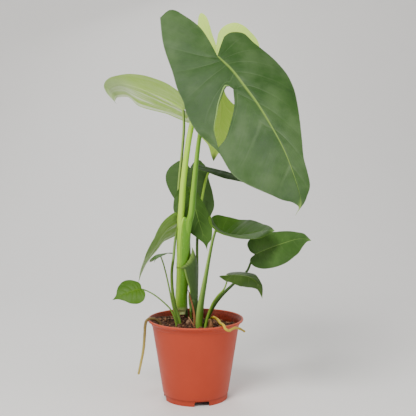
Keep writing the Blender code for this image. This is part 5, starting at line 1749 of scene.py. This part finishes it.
LEAVES = [
    Leaf("big",
         midrib=[(0.038, -0.020, 0.600), (0.063, -0.035, 0.574), (0.086, -0.052, 0.542),
                 (0.107, -0.070, 0.510), (0.144, -0.112, 0.435), (0.164, -0.140, 0.370),
                 (0.166, -0.147, 0.351), (0.156, -0.154, 0.334)],
         up=(-0.19, -0.91, 0.37), right=0.110, left=0.110, lobe_right=0.135, lobe_left=0.033,
         half_right=[(0.00, 0.00), (-0.055, -0.14), (-0.10, -0.26), (-0.16, -0.50),
                     (-0.12, -0.80), (-0.05, -0.99), (0.19, -0.98), (0.48, -0.62),
                     (0.69, -0.23), (0.86, 0.03), (1.01, 0.29), (0.88, 0.50), (0.83, 0.66),
                     (0.69, 0.75), (0.28, 0.89), (0.08, 0.94), (0.015, 0.955), (0.00, 1.00)],
         half_left=[(0.00, 0.00), (0.16, -0.37), (0.33, -0.74), (0.46, -0.78), (0.60, -0.63),
                    (0.68, -0.37), (0.66, 0.05), (0.74, 0.17), (0.75, 0.25), (0.69, 0.33),
                    (0.56, 0.43), (0.32, 0.62), (0.22, 0.72), (0.20, 0.79), (0.17, 0.86),
                    (0.08, 0.91), (0.015, 0.95), (0.00, 1.00)],
         finish=BIG_LEAF, slot="leaf_dark", notch_right=6, notch_left=2, rows=24, columns=14,
         vein=2.8,
         hole=Hole(True, 14, 1,
                   ([(0.176, 0.215), (0.222, 0.172), (0.400, 0.209), (0.590, 0.270), (0.775, 0.360),
                     (0.850, 0.475)],
                    [(0.176, 0.215), (0.301, 0.291), (0.430, 0.349), (0.560, 0.403), (0.690, 0.450),
                     (0.850, 0.475)])),
         fold_right=(8, 4), curl_right=15,
         fold_left=(-5, -5), curl_left=45,
         route=[(-0.012, 0.025, 0.3113), (-0.008, 0.020, 0.325), (-0.004, 0.015, 0.363),
                (0.003, 0.005, 0.433), (0.007, 0.000, 0.462), (0.019, -0.010, 0.526),
                (0.029, -0.014, 0.573)],
         radii=(0.0068, 0.0056, 0.0040, 0.0036, 0.0032),
         stalk=BIG_STALK, pillow=0.0010, ripple=0.0012, ripples=5.0, detail=176),
    Leaf("pale",
         midrib=[(0.037, 0.055, 0.630), (0.042, 0.050, 0.568), (0.044, 0.042, 0.504),
                 (0.038, 0.033, 0.453), (0.032, 0.028, 0.420)],
         up=(0.0, -1.0, 0.1), right=0.062, left=0.080, lobe_right=0.062, lobe_left=0.040,
         half_right=[(0.00, 0.00), (0.06, -0.24), (0.14, -0.56), (0.17, -0.74), (0.26, -0.93),
                     (0.38, -1.00), (0.45, -0.89), (0.50, -0.65), (0.60, -0.40), (0.84, 0.01),
                     (1.03, 0.22), (0.98, 0.49), (0.68, 0.75), (0.25, 0.87), (0.11, 0.95),
                     (0.00, 1.00)],
         half_left=[(0.00, 0.00), (0.08, -0.59), (0.18, -0.81), (0.31, -0.94), (0.47, -0.98),
                    (0.65, -0.83), (0.80, -0.54), (0.95, -0.16), (1.00, 0.05), (0.92, 0.23),
                    (0.69, 0.43), (0.46, 0.63), (0.20, 0.83), (0.07, 0.93), (0.00, 1.00)],
         finish=PALE_LEAF, slot="leaf_pale", rows=18, columns=10,
         hole=Hole(False, 11, 1,
                   ([(0.086, 0.330), (0.222, 0.334), (0.392, 0.414), (0.426, 0.536)],
                    [(0.086, 0.330), (0.120, 0.409), (0.247, 0.487), (0.426, 0.536)])),
         route=[(-0.028, 0.030, 0.3113), (-0.026, 0.032, 0.335), (-0.023, 0.035, 0.380),
                (-0.014, 0.043, 0.452), (-0.004, 0.055, 0.505), (0.010, 0.065, 0.570),
                (0.026, 0.070, 0.613)],
         radii=(0.0064, 0.0056, 0.0053, 0.0042, 0.0037),
         stalk=PALE_STALK, stalk_slot="stalk_pale", pillow=0.0006, detail=120),
    Leaf("left_high",
         midrib=[(-0.022, 0.055, 0.515), (-0.058, 0.075, 0.536), (-0.097, 0.097, 0.555),
                 (-0.132, 0.116, 0.568), (-0.157, 0.129, 0.571), (-0.171, 0.130, 0.562),
                 (-0.167, 0.122, 0.548), (-0.153, 0.108, 0.531)],
         up=(0.35, 0.55, 0.74), up_tip=(-0.8, 0.4, 0.2), right=0.055, left=0.055,
         lobe_right=0.014, lobe_left=0.014,
         half_right=[(0.00, 0.00), (0.12, -0.6), (0.35, -0.95), (0.55, -0.6), (0.58, 0.00),
                     (0.67, 0.19), (0.82, 0.36), (0.87, 0.50), (0.82, 0.66), (0.62, 0.80),
                     (0.38, 0.88), (0.16, 0.94), (0.00, 1.00)],
         half_left=[(0.00, 0.00), (0.12, -0.55), (0.35, -0.9), (0.62, -0.55), (0.74, 0.06),
                    (0.79, 0.20), (0.70, 0.39), (0.55, 0.52), (0.42, 0.66), (0.34, 0.78),
                    (0.22, 0.88), (0.08, 0.95), (0.00, 1.00)],
         finish=LIFTED_LEAF, slot="leaf_pale", rows=14, fold_right=(2, 2), fold_left=(6, 4), curl_right=12,
         curl_left=10,
         foot=(-0.029, 0.054),
         route=[(-0.033, 0.068, 0.200), (-0.034, 0.080, 0.340), (-0.031, 0.071, 0.389),
                (-0.026, 0.060, 0.435), (-0.022, 0.052, 0.485)],
         radii=(0.003, 0.003, 0.0025),
         stalk=STRONG_SHADE_STALK, pillow=0.0004, ripple=0.0004),
    Leaf("round_back",
         midrib=[(-0.012, 0.100, 0.408), (-0.003, 0.099, 0.367), (0.009, 0.094, 0.319),
                 (0.018, 0.088, 0.280)],
         up=(0.0, -0.95, 0.25), right=0.050, left=0.036, lobe_right=0.022, lobe_left=0.02,
         half_right=[(0.00, 0.00), (0.11, -0.52), (0.34, -0.83), (0.51, -0.73), (0.78, -0.41),
                     (0.96, 0.01), (1.02, 0.12), (0.95, 0.27), (0.76, 0.46), (0.46, 0.73),
                     (0.15, 0.92), (0.00, 1.00)],
         half_left=[(0.00, 0.00), (0.27, -0.5), (0.60, -0.55), (0.72, -0.21), (0.81, 0.00),
                    (0.86, 0.25), (0.89, 0.39), (0.83, 0.58), (0.73, 0.65), (0.50, 0.73),
                    (0.22, 0.87), (0.05, 0.96), (0.00, 1.00)],
         finish=ROUND_LEAF, slot="leaf_dark",
         foot=(-0.018, 0.056),
         route=[(-0.019, 0.066, 0.170), (-0.019, 0.088, 0.230), (-0.016, 0.106, 0.300),
                (-0.013, 0.113, 0.360), (-0.012, 0.112, 0.392)],
         radii=(0.0026, 0.0024, 0.002),
         stalk=DARK_STALK, stalk_slot="stalk_dark"),
    Leaf("middle",
         midrib=[(-0.014, 0.069, 0.3725), (-0.004, 0.062, 0.3405), (0.007, 0.052, 0.3040),
                 (0.016, 0.045, 0.2765), (0.021, 0.041, 0.2565)],
         up=(0.2, -0.8, 0.5), right=0.040, left=0.028, lobe_right=0.012, lobe_left=0.012,
         half_right=[(0.00, 0.00), (0.20, -0.39), (0.54, 0.00), (0.81, 0.10), (0.99, 0.23),
                     (1.02, 0.31), (0.86, 0.48), (0.63, 0.64), (0.25, 0.81), (0.09, 0.88),
                     (0.02, 0.95), (0.00, 1.00)],
         half_left=[(0.00, 0.00), (0.21, 0.02), (0.46, 0.10), (0.56, 0.20), (0.87, 0.46),
                    (0.88, 0.58), (0.73, 0.72), (0.45, 0.85), (0.16, 0.90), (0.03, 0.96),
                    (0.00, 1.00)],
         finish=MIDDLE_LEAF, slot="leaf_bright",
         foot=(-0.010, 0.056),
         route=[(-0.010, 0.060, 0.180), (-0.012, 0.071, 0.240), (-0.014, 0.078, 0.300),
                (-0.015, 0.080, 0.345)],
         radii=(0.0022, 0.002, 0.0018),
         stalk=GREEN_STALK),
    Leaf("left_hanging",
         midrib=[(-0.033, 0.046, 0.311), (-0.055, 0.038, 0.295), (-0.071, 0.030, 0.272),
                 (-0.084, 0.022, 0.250), (-0.095, 0.016, 0.227), (-0.103, 0.012, 0.204)],
         up=(-0.7, 0.6, 0.5), right=0.045, left=0.030, lobe_right=0.005, lobe_left=0.003,
         half_right=[(0.00, 0.00), (0.15, -0.5), (0.40, -0.6), (0.62, -0.1), (0.78, 0.13),
                     (0.66, 0.26), (0.44, 0.35), (0.36, 0.45), (0.26, 0.57), (0.16, 0.68),
                     (0.06, 0.78), (0.02, 0.89), (0.00, 1.00)],
         half_left=[(0.00, 0.00), (0.20, -0.6), (0.60, -0.8), (0.95, -0.2), (1.00, 0.15),
                    (0.90, 0.30), (0.81, 0.42), (0.75, 0.56), (0.55, 0.74), (0.34, 0.86),
                    (0.10, 0.95), (0.00, 1.00)],
         finish=HANGING_LEAF, slot="leaf_pale", fold_right=(10, 10), fold_left=(0, -20), curl_right=15,
         curl_left=5,
         foot=(-0.029, -0.001),
         route=[(-0.036, 0.004, 0.158), (-0.041, 0.008, 0.184), (-0.043, 0.013, 0.220),
                (-0.0400, 0.025, 0.250), (-0.0380, 0.037, 0.276)],
         radii=(0.0036, 0.0027, 0.0021),
         stalk=GREEN_STALK),
    Leaf("left_thin",
         midrib=[(-0.063, 0.000, 0.2555), (-0.065, -0.018, 0.2575), (-0.067, -0.034, 0.2585),
                 (-0.0685, -0.040, 0.2545), (-0.0705, -0.0425, 0.247)],
         up=(-0.35, 0.1, 0.95), right=0.021, left=0.024, lobe_right=0.008, lobe_left=0.008,
         finish=DARK_LEAF, slot="leaf_dark", rows=10, fold_right=(-5, -5), fold_left=(-5, -8), curl_right=35,
         curl_left=20,
         foot=(-0.0323, -0.008),
         route=[(-0.0405, -0.007, 0.166), (-0.048, -0.006, 0.203), (-0.056, -0.004, 0.236)],
         radii=(0.0026, 0.0015, 0.0012),
         stalk=GREEN_STALK),
    Leaf("right_folded",
         midrib=[(0.0350, -0.030, 0.3010), (0.0430, -0.036, 0.2975), (0.0530, -0.045, 0.2943),
                 (0.0640, -0.056, 0.2940), (0.0750, -0.067, 0.2960), (0.0840, -0.076, 0.2980),
                 (0.1000, -0.092, 0.3028), (0.1165, -0.108, 0.3080), (0.1280, -0.120, 0.3080)],
         up=(-0.1, -0.5, 0.85), right=0.045, left=0.048, lobe_right=0.020, lobe_left=0.020,
         half_right=[(0.00, 0.00), (0.13, -0.44), (0.57, -0.43), (0.92, 0.00), (1.00, 0.15),
                     (0.95, 0.35), (0.85, 0.50), (0.76, 0.64), (0.66, 0.76), (0.54, 0.86),
                     (0.36, 0.93), (0.13, 0.97), (0.00, 1.00)],
         half_left=[(0.00, 0.00), (0.24, -0.8), (0.45, -1.3), (0.62, -1.15), (0.73, -0.4),
                    (0.85, 0.07), (0.98, 0.26), (0.71, 0.55), (0.27, 0.83), (0.11, 0.93),
                    (0.00, 1.00)],
         finish=FOLDED_LEAF, slot="leaf_dark", rows=14, fold_right=(75, -12), fold_left=(12, 8), curl_right=5,
         curl_left=10,
         foot=(0.006, -0.013),
         route=[(0.009, -0.016, 0.166), (0.017, -0.020, 0.213), (0.024, -0.024, 0.252),
                (0.030, -0.027, 0.282)],
         radii=(0.0054, 0.0066, 0.0050, 0.0037, 0.0028, 0.0022),
         stalk=BROAD_STALK),
    Leaf("left_heart",
         midrib=[(-0.095, -0.012, 0.196), (-0.110, -0.015, 0.193), (-0.127, -0.019, 0.187),
                 (-0.145, -0.022, 0.178)],
         up=(0.1, -0.7, 0.6), right=0.024, left=0.024, lobe_right=0.010, lobe_left=0.010,
         half_right=[(0.00, 0.00), (0.27, -0.06), (0.45, 0.01), (0.62, 0.06), (0.86, 0.18),
                     (1.01, 0.28), (1.10, 0.38), (1.08, 0.50), (0.86, 0.63), (0.55, 0.73),
                     (0.24, 0.82), (0.06, 0.93), (0.00, 1.00)],
         half_left=[(0.00, 0.00), (0.06, -0.23), (0.30, -0.45), (0.59, -0.4), (0.84, -0.16),
                    (1.03, 0.05), (1.10, 0.17), (1.04, 0.37), (0.87, 0.53), (0.60, 0.63),
                    (0.40, 0.72), (0.16, 0.84), (0.00, 1.00)],
         finish=HEART_LEAF, slot="leaf_bright", rows=10,
         foot=(-0.0330, -0.0150),
         route=[(-0.0425, -0.0140, 0.1575), (-0.053, -0.012, 0.169), (-0.073, -0.010, 0.185),
                (-0.088, -0.006, 0.192)],
         radii=(0.0024, 0.0014, 0.0011),
         stalk=GREEN_STALK),
    Leaf("right_high",
         midrib=[(0.025, 0.058, 0.4055), (0.053, 0.056, 0.3990), (0.090, 0.052, 0.3860),
                 (0.114, 0.050, 0.3720)],
         up=(0.0, -0.15, 1.0), right=0.034, left=0.034, lobe_right=0.035, lobe_left=0.035,
         finish=BANDED_LEAF, slot="leaf_dark",
         foot=(0.000, 0.048),
         route=[(0.002, 0.056, 0.220), (0.002, 0.064, 0.275), (0.006, 0.073, 0.321),
                (0.012, 0.076, 0.358), (0.018, 0.070, 0.386)],
         radii=(0.0028, 0.0026, 0.0022),
         stalk=RISING_STALK, stalk_slot="stalk_dark"),
    Leaf("right_heart",
         midrib=[(0.101, -0.055, 0.262), (0.120, -0.074, 0.273), (0.1415, -0.097, 0.2845),
                 (0.162, -0.120, 0.294), (0.1745, -0.135, 0.2965), (0.183, -0.143, 0.2945)],
         up=(-0.25, -0.85, 0.45), right=0.036, left=0.036, lobe_right=0.014, lobe_left=0.014,
         half_right=[(0.00, 0.00), (0.10, -0.62), (0.23, -0.78), (0.45, -0.52), (0.66, 0.01),
                     (0.85, 0.12), (0.96, 0.26), (0.99, 0.39), (0.95, 0.53), (0.85, 0.68),
                     (0.68, 0.85), (0.38, 0.92), (0.09, 0.96), (0.00, 1.00)],
         half_left=[(0.00, 0.00), (0.18, -0.56), (0.42, -0.94), (0.65, -1.14), (0.84, -0.85),
                    (0.94, 0.01), (0.88, 0.20), (0.70, 0.39), (0.48, 0.64), (0.35, 0.75),
                    (0.23, 0.87), (0.09, 0.94), (0.00, 1.00)],
         finish=SMALL_LEAF, slot="leaf_dark",
         foot=(0.0165, -0.004),
         route=[(0.031, -0.010, 0.164), (0.047, -0.020, 0.187), (0.065, -0.028, 0.206),
                (0.089, -0.037, 0.231), (0.096, -0.042, 0.248)],
         radii=(0.0044, 0.0036, 0.0022, 0.0018),
         stalk=DARK_STALK, stalk_slot="stalk_dark"),
    Leaf("right_drooping",
         midrib=[(0.056, -0.062, 0.2275), (0.075, -0.072, 0.2295), (0.092, -0.082, 0.227),
                 (0.104, -0.090, 0.217), (0.111, -0.094, 0.194)],
         up=(0.0, -0.3, 0.95), right=0.026, left=0.026, lobe_right=0.016, lobe_left=0.012,
         half_right=[(0.00, 0.00), (0.03, -0.55), (0.05, -1.05), (0.22, -0.69), (0.44, -0.15),
                     (0.67, 0.13), (0.81, 0.24), (0.87, 0.40), (0.72, 0.62), (0.38, 0.75),
                     (0.18, 0.80), (0.08, 0.89), (0.00, 1.00)],
         half_left=[(0.00, 0.00), (0.25, -0.55), (0.60, -0.9), (1.00, -0.6), (1.18, -0.2),
                    (1.25, 0.05), (1.20, 0.20), (0.88, 0.43), (0.67, 0.53), (0.46, 0.65),
                    (0.33, 0.76), (0.16, 0.88), (0.00, 1.00)],
         finish=DROOPING_LEAF, slot="leaf_bright", rows=10, fold_right=(-22, -20), fold_left=(-8, -8), curl_right=10,
         curl_left=10,
         foot=(0.0175, -0.020),
         route=[(0.028, -0.030, 0.169), (0.038, -0.042, 0.188), (0.049, -0.052, 0.202),
                (0.053, -0.058, 0.213)],
         radii=(0.0028, 0.0018, 0.0013),
         stalk=LIGHT_STALK),
]


@dataclass(frozen=True)
class Lamp:
    """One soft studio light.

    Attributes:
        name: Its name.
        place: Where it hangs.
        size: How wide it is.
        power: How strong it is, in watts.
        colour: Its colour.
    """

    name: str
    place: Point
    size: float
    power: float
    colour: Colour = (1.0, 1.0, 1.0)

    def hang(self, target: Vector) -> None:
        """Adds the light, turned to the target."""
        light = bpy.data.lights.new(self.name, "AREA")
        light.shape, light.size = "DISK", self.size
        light.energy, light.color = self.power, self.colour
        lamp = bpy.data.objects.new(self.name, light)
        bpy.context.scene.collection.objects.link(lamp)
        lamp.location = self.place
        lamp.rotation_euler = (target - lamp.location).to_track_quat("-Z", "Y").to_euler()


@dataclass
class Studio:
    """The plain pale floor, the soft light and the camera.

    Attributes:
        lamps: The lights.
        eye: Where the camera stands.
        pitch: How far it is tilted up from looking straight down, in degrees.
        lens: Its focal length in millimetres.
        floor_colour: The floor's colour.
        air: The colour of the light from all round.
        air_strength: How strong that is.
    """

    lamps: tuple
    eye: Point = (0.022, -1.2, 0.4025)
    pitch: float = 86.9
    lens: float = 58.93
    floor_colour: Colour = (0.86, 0.85, 0.84)
    air: Colour = (1.0, 0.99, 0.97)
    air_strength: float = 0.5

    def build(self) -> None:
        """Sets the floor, the lights, the air and the camera."""
        self.lay_floor()
        target = Vector((0.0, 0.0, 0.34))
        for lamp in self.lamps:
            lamp.hang(target)
        self.fill_air()
        view = bpy.data.cameras.new("camera")
        view.lens, view.sensor_width = self.lens, 36.0
        view.clip_start = 0.01
        camera = bpy.data.objects.new("camera", view)
        bpy.context.scene.collection.objects.link(camera)
        camera.location = self.eye
        camera.rotation_euler = (math.radians(self.pitch), 0.0, 0.0)
        bpy.context.scene.camera = camera

    def lay_floor(self) -> None:
        """Adds the floor, which curves up into a backdrop."""
        bends = [(-6.0, 0.0), (1.0, 0.0)]
        bends += [(1.0 + math.sin(turn), 1.0 - math.cos(turn))
                  for turn in np.linspace(0.1, math.pi / 2, 12)]
        bends += [(2.0, 6.0)]
        reach = np.array(bends)

        def place(column: np.ndarray, row: np.ndarray) -> np.ndarray:
            """Bends the sheet up behind the plant."""
            return np.stack([(column - 0.5) * 14.0, reach[row, 0], reach[row, 1]], axis=1)

        floor = formed_grid("studio_floor", 1, len(bends) - 1, place)
        smooth(floor, 60)
        g = Graph("studio_floor")
        cloud = g.noise(g.spot(), 5.0, 3.0)
        colour = g.mix(g.step(cloud, 0.3, 0.7, 0.0, 0.1), self.floor_colour, (0.80, 0.79, 0.77))
        floor.data.materials.append(g.dress(colour, 0.8, cloud, 0.0005, 0.2))

    def fill_air(self) -> None:
        """Fills the air with pale light."""
        world = bpy.data.worlds.new("air")
        world.use_nodes = True
        back = world.node_tree.nodes["Background"]
        back.inputs["Color"].default_value = (*self.air, 1.0)
        back.inputs["Strength"].default_value = self.air_strength
        bpy.context.scene.world = world


def main() -> None:
    """Builds every piece and the studio."""
    logging.basicConfig(level=logging.INFO, format="%(name)s %(message)s")
    deselect()
    Pot(TERRACOTTA).build()
    Peat(PEAT_BED, PEAT_CRUMB, BARK).build()
    MainStem(STEM_SKIN, STEM_SECTIONS).build()
    Sheath(SHEATH_SKIN, SHEATH_ROWS).build()
    DriedStrip(STRIP_SKIN, STRIP_ROUTE).build()
    wild_growth()
    Foliage(LEAVES).build()
    Studio((
        Lamp("key_light", (-0.7, -1.6, 2.0), 1.1, 62.0, (1.0, 0.99, 0.96)),
        Lamp("fill_light", (1.7, -1.0, 0.9), 1.4, 8.0, (0.96, 0.98, 1.0)),
        Lamp("back_light", (-0.4, 1.5, 1.7), 1.0, 12.0),
    )).build()


if __name__ == "__main__":
    main()
